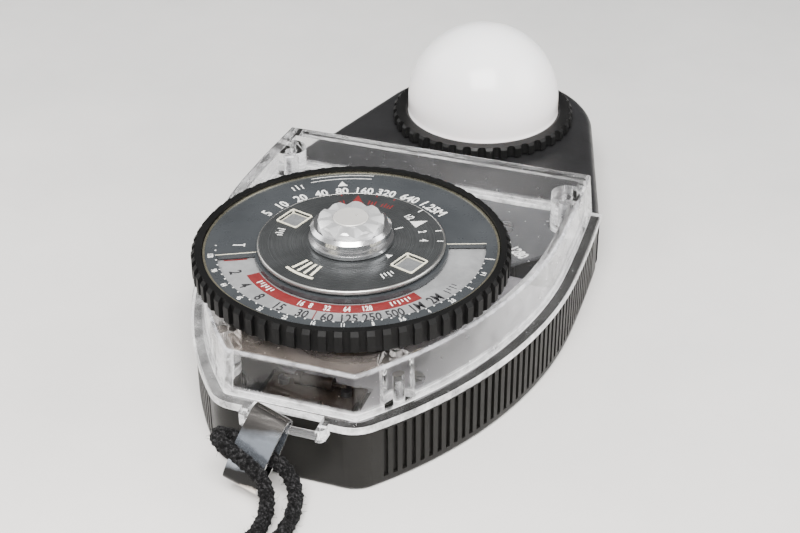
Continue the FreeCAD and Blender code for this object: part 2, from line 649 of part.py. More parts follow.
def make_swivel_nut():
    ring = cyl_y(4.1, 35.4, 36.9, 0, HEAD_AXIS_Z)
    flats = box(-3.9, 3.9, 30, 40, HEAD_AXIS_Z - 3.9, HEAD_AXIS_Z + 3.9)
    return ring.common(flats).cut(cyl_y(JOURNAL_R, 30, 40, 0, HEAD_AXIS_Z))


def make_friction_washer():
    return tube_y(JOURNAL_R, 4.2, 36.95, 37.75, 0, HEAD_AXIS_Z)


def make_contact_rings():
    rings = [tube_y(JOURNAL_R, 3.5, y, y + 0.7, 0, HEAD_AXIS_Z) for y in (33.1, 34.3)]
    return group(rings)


def make_contact_brushes():
    """Two leaf springs that bear on the slip rings from above."""
    top = HEAD_AXIS_Z + 3.5 + 0.03
    leaves = [box(-1.0, 9.0, y + 0.1, y + 0.6, top, top + 0.2) for y in (33.1, 34.3)]
    return group(leaves)


def make_brush_block():
    return box(9.0, 12.0, 32.6, 35.6, WALL, 10.1)


def make_photocell():
    return cyl(12.4, 5.4, 6.6, 0, DOME_Y)


def make_cell_back_spring():
    """Three-legged leaf that pushes the cell forward and takes its rear contact."""
    ring = tube(4.0, 6.0, 4.2, 4.5, 0, DOME_Y)
    legs = []
    for angle in (90, 210, 330):
        x, y = polar(7.8, angle, 0, DOME_Y)
        leg = box(-2.4, 2.4, -1.0, 1.0, 0, 0.25)
        leg.rotate(V(0, 0, 0), V(0, 1, 0), -14)
        leg.rotate(V(0, 0, 0), V(0, 0, 1), angle)
        leg.translate(V(x, y, 4.45))
        legs.append(leg)
    return fuse([ring] + legs)


def make_cell_contact_ring():
    return tube(11.0, 12.3, 6.6, 7.0, 0, DOME_Y)


def make_cell_clamp_ring():
    return tube(11.2, 12.6, 7.0, 8.0, 0, DOME_Y)


def make_bayonet_seat():
    """Ring pressed in the front shell, with a groove for the receptor's three lugs."""
    seat = revolve([(12.6, 8.0), (14.6, 8.0), (14.6, 11.3), (13.0, 11.3), (13.0, 10.4),
                    (13.75, 10.4), (13.75, 9.2), (12.6, 9.2)], 0, DOME_Y)
    gate = sector(12.0, 13.75, 10.3, 12.0, 40, 78)
    gates = [turned(gate, 120 * i) for i in range(3)]
    for g in gates:
        g.translate(V(0, DOME_Y, 0))
    return seat.cut(group(gates))


# ---- light receptor ----
def make_dome_ring():
    ring = revolve([(12.3, 9.4), (12.9, 9.4), (12.9, RING_BOTTOM), (RING_R, RING_BOTTOM),
                    (RING_R, 13.1), (RING_R - 0.4, RING_TOP), (14.1, RING_TOP), (13.7, 13.3),
                    (13.7, 12.9), (14.4, 12.9), (14.4, 12.0), (12.3, 12.0)], 0, DOME_Y)
    lug = sector(12.7, 13.6, 9.4, 10.2, -10, 20)
    lugs = [turned(lug, 120 * i) for i in range(3)]
    for one in lugs:
        one.translate(V(0, DOME_Y, 0))
    ring = ring.multiFuse(lugs)
    notches = []
    for i in range(RING_NOTCHES):
        x, y = polar(RING_R + 0.1, 360.0 * i / RING_NOTCHES, 0, DOME_Y)
        notches.append(cyl(0.78, 11, 14, x, y))
    return ring.cut(group(notches))


def make_dome():
    """Hemispherical diffuser with a short straight skirt and a base flange."""
    outer = Part.makeSphere(DOME_R, V(0, DOME_Y, DOME_CENTRE_Z), V(0, 0, 1), 0, 90, 360)
    inner = Part.makeSphere(DOME_R - DOME_WALL, V(0, DOME_Y, DOME_CENTRE_Z), V(0, 0, 1), 0, 90, 360)
    skirt = cyl(DOME_R, 12.0, DOME_CENTRE_Z, 0, DOME_Y)
    flange = cyl(14.35, 12.0, 12.85, 0, DOME_Y)
    hollow = cyl(DOME_R - DOME_WALL, 11.0, DOME_CENTRE_Z, 0, DOME_Y)
    return fuse([outer, skirt, flange]).cut(fuse([inner, hollow]))


# ---- strap link and cord ----
def link_axes():
    tilt, lean = math.radians(LINK_TILT_DEG), math.radians(LINK_LEAN_DEG)
    down = V(-math.sin(tilt), -math.cos(tilt) * math.sin(lean), -math.cos(tilt) * math.cos(lean))
    across = V(math.cos(tilt), -math.sin(tilt) * math.sin(lean), -math.sin(tilt) * math.cos(lean))
    front = V(0, -math.cos(lean), math.sin(lean))
    return across, down, front


def on_link(u, v, n):
    """A point given across the link, along it from the bar, and out of its front."""
    across, down, front = link_axes()
    return BAR_CENTRE + across * u + down * v + front * n


def link_outline(grow, u):
    """Side outline of the link's loop, grown outward by grow, as a closed wire at u."""
    top, low = -1.8 - grow, 9.0 + grow
    half = [(top + 0.9, 1.05 + grow), (4.2, 1.55 + grow), (low - 0.8, 0.8 + grow)]
    front = [on_link(u, v, n) for v, n in half]
    back = [on_link(u, v, -n) for v, n in half]
    crown, foot = on_link(u, top, 0), on_link(u, low, 0)
    edges = [
        Part.Arc(back[0], crown, front[0]), Part.Arc(*front), Part.Arc(front[2], foot, back[2]),
        Part.Arc(*back[::-1]),
    ]
    return Part.Wire([e.toShape() for e in edges])


def make_strap_link():
    across = link_axes()[0]
    outer = Part.Face(link_outline(LINK_T, -LINK_W / 2)).extrude(across * LINK_W)
    inner = Part.Face(link_outline(0.0, -LINK_W / 2 - 1)).extrude(across * (LINK_W + 2))
    return outer.cut(inner)


# Route points of the strap cord. It starts inside the link, and both strands reach the coil.
# The left strand bights round the link's edge and crosses back over its front.
LEFT_STRAND = [
    on_link(0.0, 4.0, 0.0), on_link(-2.0, 4.1, 0.0), on_link(-4.3, 3.8, -0.5),
    on_link(-5.6, 3.9, 1.6), on_link(-4.3, 4.4, 3.7), on_link(-1.9, 4.6, 3.6),
    on_link(0.6, 5.1, 3.5), on_link(3.2, 5.9, 3.1), V(0.9, -35.0, 3.4), V(1.3, -38.2, 1.6),
    V(0.2, -42.6, 1.3), V(-2.6, -47.4, 1.3), V(-5.4, -52.4, 1.3), V(-7.8, -58.6, 1.6),
]
RIGHT_STRAND = [
    on_link(0.0, 4.0, 0.0), on_link(2.4, 3.88, 0.0), on_link(4.5, 4.2, -0.5),
    V(3.1, -30.6, 2.7), V(4.3, -34.4, 1.5), V(4.3, -38.8, 1.3), V(2.8, -43.6, 1.3),
    V(4.6, -48.4, 1.3), V(11.0, -51.6, 2.0),
]


def cord_path(points):
    """Straight runs joined by tangent arcs, each as large as its two runs allow."""
    edges, radii = [], []
    at = points[0]
    for before, here, after in zip(points, points[1:], points[2:]):
        into, out = (here - before), (after - here)
        turn = into.getAngle(out)
        cut = 0.45 * min(into.Length, out.Length)
        radii.append(cut / math.tan(turn / 2))
        a = here - into.normalize() * cut
        b = here + out.normalize() * cut
        chord_mid = (a + b) * 0.5
        inward = (chord_mid - here).normalize()
        centre_gap = radii[-1] / math.cos(turn / 2)
        mid = here + inward * (centre_gap - radii[-1])
        edges += [Part.LineSegment(at, a).toShape(), Part.Arc(a, mid, b).toShape()]
        at = b
    edges.append(Part.LineSegment(at, points[-1]).toShape())
    return Part.Wire(edges), radii


def make_strand(name, points):
    path, radii = cord_path(points)
    start = (points[1] - points[0]).normalize()
    ring = Part.Wire(Part.Circle(points[0], start, CORD_D / 2).toShape())
    strand = path.makePipeShell([ring], True, False, 2)
    share = strand.Volume / (math.pi * CORD_D ** 2 / 4 * path.Length)
    print("%s: length %.1f mm, volume share %.4f, radii %s"
          % (name, path.Length, share, ", ".join("%.1f" % r for r in radii)))
    return strand


def make_cord_coil():
    """Outer shape of the coiled rest of the cord, lying on the table."""
    w, h = COIL_BUNDLE[0] / 2, COIL_BUNDLE[1]
    r = COIL_MEAN_R
    bevel = 1.6
    return revolve([(r - w, bevel), (r - w + bevel, 0), (r + w - bevel, 0), (r + w, bevel),
                    (r + w, h - bevel), (r + w - bevel, h), (r - w + bevel, h), (r - w, h - bevel)],
                   COIL_CENTRE.x, COIL_CENTRE.y)


NODES = {
    "rear_case": make_rear_case,
    "back_plate": make_back_plate,
    "clear_cover": make_clear_cover,
    "case_screws": make_case_screws,
    "chassis_plate": make_chassis_plate,
    "plate_screws": make_plate_screws,
    "scale_plate": make_scale_plate,
    "movement_yoke": make_yoke,
    "core_magnet": make_core_magnet,
    "core_holder": make_core_holder,
    "lower_bridge": make_lower_bridge,
    "upper_bridge": make_upper_bridge,
    "bridge_screws": make_bridge_screws,
    "jewel_screws": make_jewel_screws,
    "moving_coil": make_moving_coil,
    "pivot_staffs": make_pivot_staffs,
    "pointer": make_pointer,
    "balance_weights": make_balance_weights,
    "hairsprings": make_hairsprings,
    "zero_screw": make_zero_screw,
    "zero_lever": make_zero_lever,
    "terminal_board": make_terminal_board,
    "terminals": make_terminals,
    "calibration_resistors": make_calibration_resistors,
    "brake_bracket": make_brake_bracket,
    "brake_pin": make_brake_pin,
    "brake_lever": make_brake_lever,
    "dial_spindle": make_dial_spindle,
    "spindle_nut": make_spindle_nut,
    "dial_wheel": make_wheel,
    "wheel_bush": make_wheel_bush,
    "dial_face": make_dial_face,
    "dial_trim_ring": make_dial_trim_ring,
    "shutter_disc": make_shutter_disc,
    "film_disc": make_film_disc,
    "knob_collar": make_knob_collar,
    "knob_cap": make_knob_cap,
    "stop_button": make_stop_button,
    "button_clip": make_button_clip,
    "button_spring": make_button_spring,
    "head_front_shell": make_head_front_shell,
    "head_rear_shell": make_head_rear_shell,
    "head_screws": make_head_screws,
    "swivel_hub": make_swivel_hub,
    "swivel_nut": make_swivel_nut,
    "friction_washer": make_friction_washer,
    "contact_rings": make_contact_rings,
    "contact_brushes": make_contact_brushes,
    "brush_block": make_brush_block,
    "photocell": make_photocell,
    "cell_back_spring": make_cell_back_spring,
    "cell_contact_ring": make_cell_contact_ring,
    "cell_clamp_ring": make_cell_clamp_ring,
    "bayonet_seat": make_bayonet_seat,
    "dome_ring": make_dome_ring,
    "dome": make_dome,
}
STRAP = {
    "strap_link": make_strap_link,
    "strap_cord_left": lambda: make_strand("strap_cord_left", LEFT_STRAND),
    "strap_cord_right": lambda: make_strand("strap_cord_right", RIGHT_STRAND),
    "strap_cord_coil": make_cord_coil,
}

os.makedirs("parts", exist_ok=True)
for node, make in {**NODES, **STRAP}.items():
    save(node, make())
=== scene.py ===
import bpy, bmesh
import math, random
import numpy as np
from mathutils import Matrix, Vector


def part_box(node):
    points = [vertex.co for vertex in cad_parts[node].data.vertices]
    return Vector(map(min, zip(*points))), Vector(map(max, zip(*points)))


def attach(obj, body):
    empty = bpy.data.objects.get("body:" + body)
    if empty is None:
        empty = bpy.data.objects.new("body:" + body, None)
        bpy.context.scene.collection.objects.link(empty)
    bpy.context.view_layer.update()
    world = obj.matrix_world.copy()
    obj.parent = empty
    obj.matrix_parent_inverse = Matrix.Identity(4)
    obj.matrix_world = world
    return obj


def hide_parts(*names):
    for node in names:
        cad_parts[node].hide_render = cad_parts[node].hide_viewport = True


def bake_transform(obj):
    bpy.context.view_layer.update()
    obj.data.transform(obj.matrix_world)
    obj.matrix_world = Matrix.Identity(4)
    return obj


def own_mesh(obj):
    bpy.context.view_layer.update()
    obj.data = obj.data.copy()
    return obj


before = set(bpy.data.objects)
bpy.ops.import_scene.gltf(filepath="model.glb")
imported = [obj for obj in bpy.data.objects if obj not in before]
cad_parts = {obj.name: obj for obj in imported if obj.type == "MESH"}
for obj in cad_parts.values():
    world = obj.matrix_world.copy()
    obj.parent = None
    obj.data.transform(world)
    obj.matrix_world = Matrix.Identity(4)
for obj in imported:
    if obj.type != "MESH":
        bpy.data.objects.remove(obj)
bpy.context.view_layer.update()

MM = 0.001
# The dial's axis is the centre of most of the object. The row's origin is 29.35 mm behind it.
AXIS = Vector((0.0, -29.35, 0.0)) * MM


def at(x, y, z):
    """A point given in millimetres about the dial's axis, in the row frame in metres."""
    return Vector((x, y, z)) * MM + AXIS


def polar(r, degrees, z):
    """A point at a radius and an angle round the dial's axis, in the row frame in metres."""
    a = math.radians(degrees)
    return at(r * math.cos(a), r * math.sin(a), z)


# ---- camera ----
CAMERA_PLACE = (0.072205, -0.212415, 0.145275)
CAMERA_RIGHT = Vector((0.94374, 0.33066, -0.00440))
CAMERA_UP = Vector((-0.17472, 0.50988, 0.84232))
CAMERA_LENS, CAMERA_SENSOR = 71.5, 36.0


def make_camera():
    """A small-object lens from the front right and above."""
    data = bpy.data.cameras.new("camera")
    data.lens = CAMERA_LENS
    data.sensor_width = CAMERA_SENSOR
    data.clip_start = 0.01
    camera = bpy.data.objects.new("camera", data)
    bpy.context.scene.collection.objects.link(camera)
    back = CAMERA_RIGHT.cross(CAMERA_UP)
    turn = Matrix((CAMERA_RIGHT, CAMERA_UP, back)).transposed()
    camera.matrix_world = Matrix.Translation(CAMERA_PLACE) @ turn.to_4x4()
    bpy.context.scene.camera = camera


make_camera()


# ---- node materials ----
class Shader:
    """A Principled material under construction, with short calls for its nodes."""

    def __init__(self, name, **values):
        self.mat = bpy.data.materials.new(name)
        self.mat.use_nodes = True
        self.tree = self.mat.node_tree
        self.bsdf = self.tree.nodes["Principled BSDF"]
        for key, value in values.items():
            self.bsdf.inputs[key.replace("_", " ")].default_value = value
        place = self.tree.nodes.new("ShaderNodeTexCoord")
        self.coords = place.outputs["Object"]
        self.normals = place.outputs["Normal"]

    def node(self, kind, **settings):
        """A new node of this kind."""
        n = self.tree.nodes.new("ShaderNode" + kind)
        for key, value in settings.items():
            setattr(n, key, value)
        return n

    def link(self, a, b):
        self.tree.links.new(a, b)

    def scaled(self, sx, sy, sz):
        """Object coordinates stretched along the axes."""
        m = self.node("Mapping")
        m.inputs["Scale"].default_value = (sx, sy, sz)
        self.link(self.coords, m.inputs["Vector"])
        return m.outputs["Vector"]

    def split(self, source):
        """The x, y and z of a vector socket."""
        n = self.node("SeparateXYZ")
        self.link(source, n.inputs[0])
        return n.outputs["X"], n.outputs["Y"], n.outputs["Z"]

    def noise(self, scale, detail=4.0, rough=0.55, vector=None):
        """Noise from 0 to 1, with this many features per metre."""
        n = self.node("TexNoise")
        n.inputs["Scale"].default_value = scale
        n.inputs["Detail"].default_value = detail
        n.inputs["Roughness"].default_value = rough
        self.link(vector or self.coords, n.inputs["Vector"])
        return n.outputs["Fac"]

    def ramp(self, source, low, high, out_low, out_high):
        """source between low and high gives numbers from out_low to out_high."""
        n = self.node("MapRange")
        for key, value in zip(("From Min", "From Max", "To Min", "To Max"), (low, high, out_low, out_high)):
            n.inputs[key].default_value = value
        self.link(source, n.inputs["Value"])
        return n.outputs["Result"]

    def math(self, operation, a, b=None, value=1.0):
        """A Math node. A missing input is the constant value."""
        n = self.node("Math", operation=operation)
        for source, socket in ((a, n.inputs[0]), (b, n.inputs[1])):
            if source is None:
                socket.default_value = value
            else:
                self.link(source, socket)
        return n.outputs[0]

    def total(self, first, *others):
        """The sum of several sockets."""
        for other in others:
            first = self.math("ADD", first, other)
        return first

    def product(self, first, *others):
        """The product of several sockets."""
        for other in others:
            first = self.math("MULTIPLY", first, other)
        return first

    def blend(self, factor, a, b):
        """Colour a where factor is 0, b where it is 1. Each is a colour or a socket."""
        n = self.node("Mix", data_type="RGBA")
        self.link(factor, n.inputs["Factor"])
        for value, socket in ((a, n.inputs[6]), (b, n.inputs[7])):
            if isinstance(value, (tuple, list)):
                socket.default_value = (*value, 1.0)
            else:
                self.link(value, socket)
        return n.outputs[2]

    def color(self, source):
        """Gives the surface its colour."""
        self.link(source, self.bsdf.inputs["Base Color"])

    def rough(self, source):
        """Gives the surface its roughness."""
        self.link(source, self.bsdf.inputs["Roughness"])

    def bump(self, height, distance):
        """Relief of this height in metres."""
        n = self.node("Bump")
        n.inputs["Distance"].default_value = distance
        n.inputs["Strength"].default_value = 1.0
        self.link(height, n.inputs["Height"])
        self.link(n.outputs["Normal"], self.bsdf.inputs["Normal"])


def plastic(name, dark, light, rough, grain, depth, spread=0.12):
    """Moulded plastic: a fine grain, broad uneven gloss and a slight change of tone."""
    s = Shader(name)
    broad = s.noise(90, 5, 0.6)
    s.color(s.blend(s.ramp(broad, 0.35, 0.7, 0, 1), dark, light))
    s.rough(s.ramp(s.noise(420, 6, 0.7), 0.3, 0.7, rough - spread / 2, rough + spread / 2))
    s.bump(s.noise(grain, 3, 0.6), depth)
    return s


def metal(name, tint, rough, scratch=(1, 1, 1), depth=0.000004, spread=0.1, tarnish=0.12, **extra):
    """Metal with fine directional scratches and a little uneven tarnish."""
    s = Shader(name, **{"Metallic": 1.0, **extra})
    lines = s.noise(900, 3, 0.6, s.scaled(*scratch))
    patches = s.ramp(s.noise(160, 5, 0.6), 0.4, 0.7, 0, 1)
    s.color(s.blend(patches, tint, tuple(c * (1 - tarnish) for c in tint)))
    s.rough(s.ramp(lines, 0.3, 0.7, rough - spread / 2, rough + spread / 2))
    s.bump(lines, depth)
    return s


def clear_plastic():
    """Clear moulded cover, faintly scratched. Painted highlights make its bevels, the foot of its raised
    part, its rim, its side walls and the left of its flange pale and cloudy, and its roof is cloudier and
    warmer towards the front. Shadow rays pass through it."""
    s = Shader("clear_acrylic", IOR=1.31)
    x, y, z = s.split(s.coords)
    sideways, _, upwards = s.split(s.normals)
    up = s.math("ABSOLUTE", upwards)
    flange_top = 0.0115
    on_flange = s.ramp(z, flange_top, flange_top + 0.0001, 1, 0)
    above = s.ramp(z, flange_top, flange_top + 0.0001, 0, 1)
    off_lug = (y, -0.0563, -0.0556)
    level = s.ramp(up, 0.90, 0.98, 0, 1)
    upright = s.ramp(up, 0.2, 0.35, 1, 0)
    # painted highlight: the bevels are made pale and cloudy
    bevel = s.product(s.ramp(up, 0.2, 0.45, 0, 0.34), s.ramp(up, 0.86, 0.97, 1, 0),
                      s.ramp(*off_lug, 0.12, 1), s.ramp(y, -0.006, 0.002, 1, 0.35))
    # painted light: the left wall is made paler, and the right wall paler towards the back
    left_wall = s.ramp(sideways, -0.6, -0.3, 0.34, 0.0)
    right_wall = s.product(s.ramp(sideways, 0.15, 0.5, 0, 1),
                           s.ramp(y, -0.046, -0.016, 0.0, 0.22))
    walls = s.product(upright, above, s.total(left_wall, right_wall))
    # painted highlight: a pale line along the foot of the raised part
    foot = s.product(upright, s.ramp(z, 0.0117, 0.0121, 0.4, 0.0), s.ramp(z, 0.0113, 0.0114, 0, 1))
    # painted highlight: the flange's upright outer edge is made pale
    rim = s.product(upright, on_flange, s.ramp(*off_lug, 0.08, 0.66))
    # painted light: the flange's top is paler on its left than on its right
    flange = s.product(level, on_flange, s.ramp(x, -0.020, 0.002, 0.24, 0.03))
    # the roof is cloudier towards the front
    roof = s.product(level, above, s.ramp(y, -0.054, -0.036, 0.055, 0.008))
    cloudy = s.ramp(s.noise(330, 5, 0.7), 0.32, 0.68, 0.3, 1.5)
    # the painted highlights above, with the roof's cloudiness, turn the plastic pale and cloudy in place of
    # clear
    haze_and_painted_light = s.product(s.total(bevel, walls, foot, rim, flange, roof), cloudy)
    milkiness_and_painted_light = s.math("MINIMUM", haze_and_painted_light, None, 0.9)
    s.link(s.math("SUBTRACT", None, milkiness_and_painted_light, 1.0), s.bsdf.inputs["Transmission Weight"])
    # the roof's colour is warmer towards the front, where it is cloudier
    roof_warmth = s.blend(s.ramp(roof, 0.008, 0.05, 0, 1), (0.96, 0.96, 0.965), (0.80, 0.71, 0.64))
    # painted highlight: a pale lavender-white colour on the bevels
    s.color(s.blend(s.ramp(bevel, 0.0, 0.35, 0, 1), roof_warmth, (0.88, 0.88, 0.93)))
    specks = s.ramp(s.noise(1100, 2, 0.4), 0.72, 0.78, 0.0, 0.35)
    scratches = s.ramp(s.noise(1500, 2, 0.5, s.scaled(0.12, 1.0, 1.0)), 0.62, 0.75, 0.0, 0.15)
    s.rough(s.total(specks, scratches, s.ramp(bevel, 0, 0.4, 0.02, 0.12)))
    s.bump(s.noise(60, 2, 0.5), 0.00012)
    through = s.node("BsdfTransparent")
    through.inputs["Color"].default_value = (0.80, 0.80, 0.80, 1.0)
    path = s.node("LightPath")
    mix = s.node("MixShader")
    s.link(path.outputs["Is Shadow Ray"], mix.inputs[0])
    s.link(s.bsdf.outputs[0], mix.inputs[1])
    s.link(through.outputs[0], mix.inputs[2])
    s.link(mix.outputs[0], s.tree.nodes["Material Output"].inputs["Surface"])
    return s


def spun_metal(name, tint, metallic, rough):
    """Turned metal: fine concentric grooves, and a highlight that fans out from the middle."""
    s = Shader(name, Metallic=metallic, Anisotropic=0.75)
    middle = s.node("Mapping")
    middle.inputs["Location"].default_value = -AXIS
    s.link(s.coords, middle.inputs["Vector"])
    x, y, _ = s.split(middle.outputs["Vector"])
    flat = s.node("CombineXYZ")
    s.link(x, flat.inputs["X"])
    s.link(y, flat.inputs["Y"])
    length = s.node("VectorMath", operation="LENGTH")
    s.link(flat.outputs[0], length.inputs[0])
    rings = s.node("TexNoise", noise_dimensions="1D")
    rings.inputs["Scale"].default_value = 6000
    rings.inputs["Detail"].default_value = 3
    s.link(length.outputs["Value"], rings.inputs["W"])
    s.color(s.blend(s.ramp(s.noise(220, 6, 0.7), 0.4, 0.75, 0, 1), tint, tuple(c * 1.5 for c in tint)))
    s.rough(s.ramp(rings.outputs["Fac"], 0.3, 0.7, rough - 0.06, rough + 0.08))
    s.bump(rings.outputs["Fac"], 0.000003)
    tangent = s.node("Tangent", direction_type="RADIAL", axis="Z")
    s.link(tangent.outputs[0], s.bsdf.inputs["Tangent"])
    return s


def ink(name, tint, rough=0.5):
    """Printed or filled marks, slightly worn."""
    s = Shader(name)
    wear = s.ramp(s.noise(900, 4, 0.7), 0.35, 0.75, 0, 1)
    s.color(s.blend(wear, tint, tuple(c * 0.72 for c in tint)))
    s.rough(s.ramp(s.noise(600), 0.3, 0.7, rough - 0.1, rough + 0.1))
    return s


def dome_white():
    """Milky diffuser plastic: light spreads inside it, and it is darker and warmer low down, a painted
    shade.
    """
    s = Shader("dome_white", Subsurface_Weight=0.3, Subsurface_Scale=0.004, IOR=1.45)
    s.bsdf.inputs["Subsurface Radius"].default_value = (1.0, 0.75, 0.65)
    _, _, z = s.split(s.coords)
    # painted shade: the dome's colour is darker and warmer towards its bottom
    low = s.ramp(z, 0.014, 0.026, 1.0, 0.0)
    s.color(s.blend(low, (1.0, 0.975, 0.975), (0.96, 0.88, 0.87)))
    s.rough(s.ramp(s.noise(300, 5, 0.6), 0.3, 0.7, 0.14, 0.22))
    s.bump(s.noise(500, 3), 0.000008)
    return s


def braid_fabric():
    """Black cotton yarn: fine fibres across each strand and a soft sheen."""
    s = Shader("cord_yarn", Sheen_Weight=0.01, Sheen_Roughness=0.5)
    s.bsdf.inputs["Specular IOR Level"].default_value = 0.12
    fibres = s.noise(2600, 4, 0.8)
    s.color(s.blend(s.ramp(fibres, 0.5, 0.70, 0, 1), (0.0014, 0.0014, 0.0015), (0.058, 0.057, 0.059)))
    s.rough(s.ramp(fibres, 0.3, 0.7, 0.7, 0.95))
    s.bump(fibres, 0.00012)
    return s


def laminate(name, a, b):
    """Pressed laminate with a faint grain along it."""
    s = Shader(name)
    s.bsdf.inputs["Specular IOR Level"].default_value = 0.12
    s.color(s.blend(s.ramp(s.noise(700, 6, 0.7, s.scaled(0.2, 1, 1)), 0.35, 0.65, 0, 1), a, b))
    s.rough(s.ramp(s.noise(500), 0.3, 0.7, 0.45, 0.65))
    s.bump(s.noise(1500, 3), 0.000015)
    return s


def link_steel():
    """Folded sheet steel with painted reflections: bluish in the middle, darker towards both folds, pale at
    its foot, and painted highlights at its cut edges.
    """
    s = Shader("link_chrome", Metallic=0.9)
    _, _, z = s.split(s.coords)
    sideways, _, _ = s.split(s.normals)
    height = s.total(z, s.ramp(s.noise(240, 4, 0.6), 0.3, 0.7, -0.0004, 0.0004))
    # painted reflections: dark at the top, bluish in the middle, dark low down and pale at the very foot
    upper = s.blend(s.ramp(height, 0.0093, 0.0108, 0, 1), (0.42, 0.46, 0.52), (0.10, 0.095, 0.09))
    lower = s.blend(s.ramp(height, 0.0050, 0.0061, 0, 1), (0.022, 0.022, 0.022), upper)
    fold = s.blend(s.ramp(height, 0.0029, 0.0034, 0, 1), (0.72, 0.66, 0.60), lower)
    # painted highlight: the cut edges are made near white
    cut = s.ramp(s.math("ABSOLUTE", sideways), 0.8, 0.9, 0, 1)
    s.color(s.blend(cut, fold, (0.92, 0.92, 0.92)))
    lines = s.noise(900, 3, 0.6, s.scaled(0.1, 1, 1))
    s.rough(s.ramp(lines, 0.3, 0.7, 0.14, 0.30))
    s.bump(lines, 0.000005)
    return s


def plate_with_painted_shade():
    """The chassis plate: brushed metal, pale on the right, and made nearly black at the front left by
    painted shade.
    """
    s = Shader("plate_painted_shade")
    s.bsdf.inputs["Specular IOR Level"].default_value = 0.1
    x, y, _ = s.split(s.coords)
    lines = s.noise(900, 3, 0.6, s.scaled(0.08, 1, 1))
    clear_of_painted_shade = s.ramp(s.total(x, s.ramp(y, -0.050, -0.030, 0.0, 0.02)), 0.0015, 0.0055, 0, 1)
    # painted shade: nearly black at the front left, pale brushed metal on the right
    s.color(s.blend(clear_of_painted_shade, (0.008, 0.008, 0.008), (0.20, 0.195, 0.205)))
    s.rough(s.ramp(lines, 0.3, 0.7, 0.38, 0.6))
    s.bump(lines, 0.000005)
    return s


def make_materials():
    """The scene's materials by their short names."""
    case = plastic("case_black", (0.0060, 0.0058, 0.0052), (0.0095, 0.0092, 0.0083), 0.42, 5200, 0.000018)
    head = plastic("head_black", (0.010, 0.010, 0.0105), (0.016, 0.016, 0.017), 0.38, 4200, 0.000010)
    matte = plastic("ring_black", (0.004, 0.004, 0.004), (0.008, 0.008, 0.008), 0.45, 3600, 0.000014)
    wheel = plastic("wheel_black", (0.003, 0.003, 0.003), (0.006, 0.006, 0.006), 0.55, 3800, 0.000008)
    for made in (case, head, matte, wheel):
        made.bsdf.inputs["Specular IOR Level"].default_value = 0.18
    head.bsdf.inputs["Specular IOR Level"].default_value = 0.34
    wheel.bsdf.inputs["Specular IOR Level"].default_value = 0.14
    plate = plastic("scale_plate_grey", (0.035, 0.036, 0.038), (0.05, 0.051, 0.054), 0.45, 3000, 0.000006)
    return {
        "black_case": case, "head": head, "black_matte": matte, "wheel": wheel,
        "clear": clear_plastic(), "white_dome": dome_white(),
        "chrome": metal("chrome", (0.80, 0.80, 0.81), 0.2, (1, 1, 0.15), spread=0.08),
        "cap_satin": metal("cap_satin", (0.66, 0.665, 0.67), 0.34, (1, 1, 1), Metallic=0.6),
        "button_satin": metal("button_satin", (0.60, 0.59, 0.565), 0.42, (1, 1, 1), Metallic=0.35),
        "link_chrome": link_steel(),
        "satin_metal": metal("satin_metal", (0.70, 0.69, 0.66), 0.33, (1, 0.2, 1)),
        "steel": metal("steel", (0.52, 0.52, 0.53), 0.28, (0.2, 1, 1)),
        "brass": metal("brass", (0.72, 0.55, 0.26), 0.27, (1, 0.3, 1)),
        "dark_steel": metal("dark_steel", (0.08, 0.08, 0.085), 0.38),
        "plate_silver": plate_with_painted_shade(),
        "gilt": metal("gilt", (0.88, 0.82, 0.62), 0.28, (1, 1, 1)),
        "scale_grey": plate,
        "dial_black": plastic("dial_black", (0.028, 0.031, 0.034), (0.042, 0.046, 0.050), 0.30, 2600,
                              0.000008, 0.14),
        "film_disc": spun_metal("film_disc_dark", (0.080, 0.084, 0.086), 0.75, 0.29),
        "scale_white": spun_metal("shutter_scale", (0.27, 0.274, 0.28), 0.35, 0.34),
        "magnet": metal("magnet", (0.20, 0.20, 0.21), 0.5),
        "copper": metal("copper", (0.70, 0.36, 0.20), 0.3, (1, 1, 0.1)),
        "board": laminate("board_laminate", (0.007, 0.005, 0.004), (0.014, 0.0095, 0.007)),
        "cell": plastic("cell_coating", (0.035, 0.03, 0.06), (0.06, 0.05, 0.09), 0.22, 900, 0.000006),
        "fibre": laminate("fibre_red", (0.25, 0.08, 0.05), (0.34, 0.13, 0.08)),
        "needle": ink("needle_black", (0.012, 0.012, 0.012), 0.4),
        "ink_white": ink("ink_white", (0.80, 0.80, 0.78)),
        "ink_cream": ink("ink_cream", (0.82, 0.78, 0.62)),
        "window_grey": ink("window_grey", (0.15, 0.155, 0.16), 0.35),
        "ink_black": ink("ink_black", (0.02, 0.02, 0.022)),
        "ink_red": ink("ink_red", (0.16, 0.016, 0.017)),
        "cord": braid_fabric(),
    }


MATS = make_materials()


def paint(obj, key):
    """Gives every slot of obj one of the scene's materials."""
    material = MATS[key].mat
    if not obj.data.materials:
        obj.data.materials.append(material)
    for i in range(len(obj.data.materials)):
        obj.data.materials[i] = material
    for slot in obj.material_slots:
        slot.material = material
    return obj


# ---- mesh helpers ----
def add_mesh(name, verts, faces, key, smooth=True):
    """A new object from vertices in metres in the row frame, with one of the scene's materials."""
    mesh = bpy.data.meshes.new(name)
    mesh.from_pydata([tuple(v) for v in verts], [], faces)
    mesh.validate()
    obj = bpy.data.objects.new(name, mesh)
    bpy.context.scene.collection.objects.link(obj)
    if smooth:
        mesh.polygons.foreach_set("use_smooth", [True] * len(mesh.polygons))
    paint(obj, key)
    return obj


# ---- strap cord ----
CORD_D = 2.4
BRAID_STEP = 0.42
HAIR_COUNT = 5200
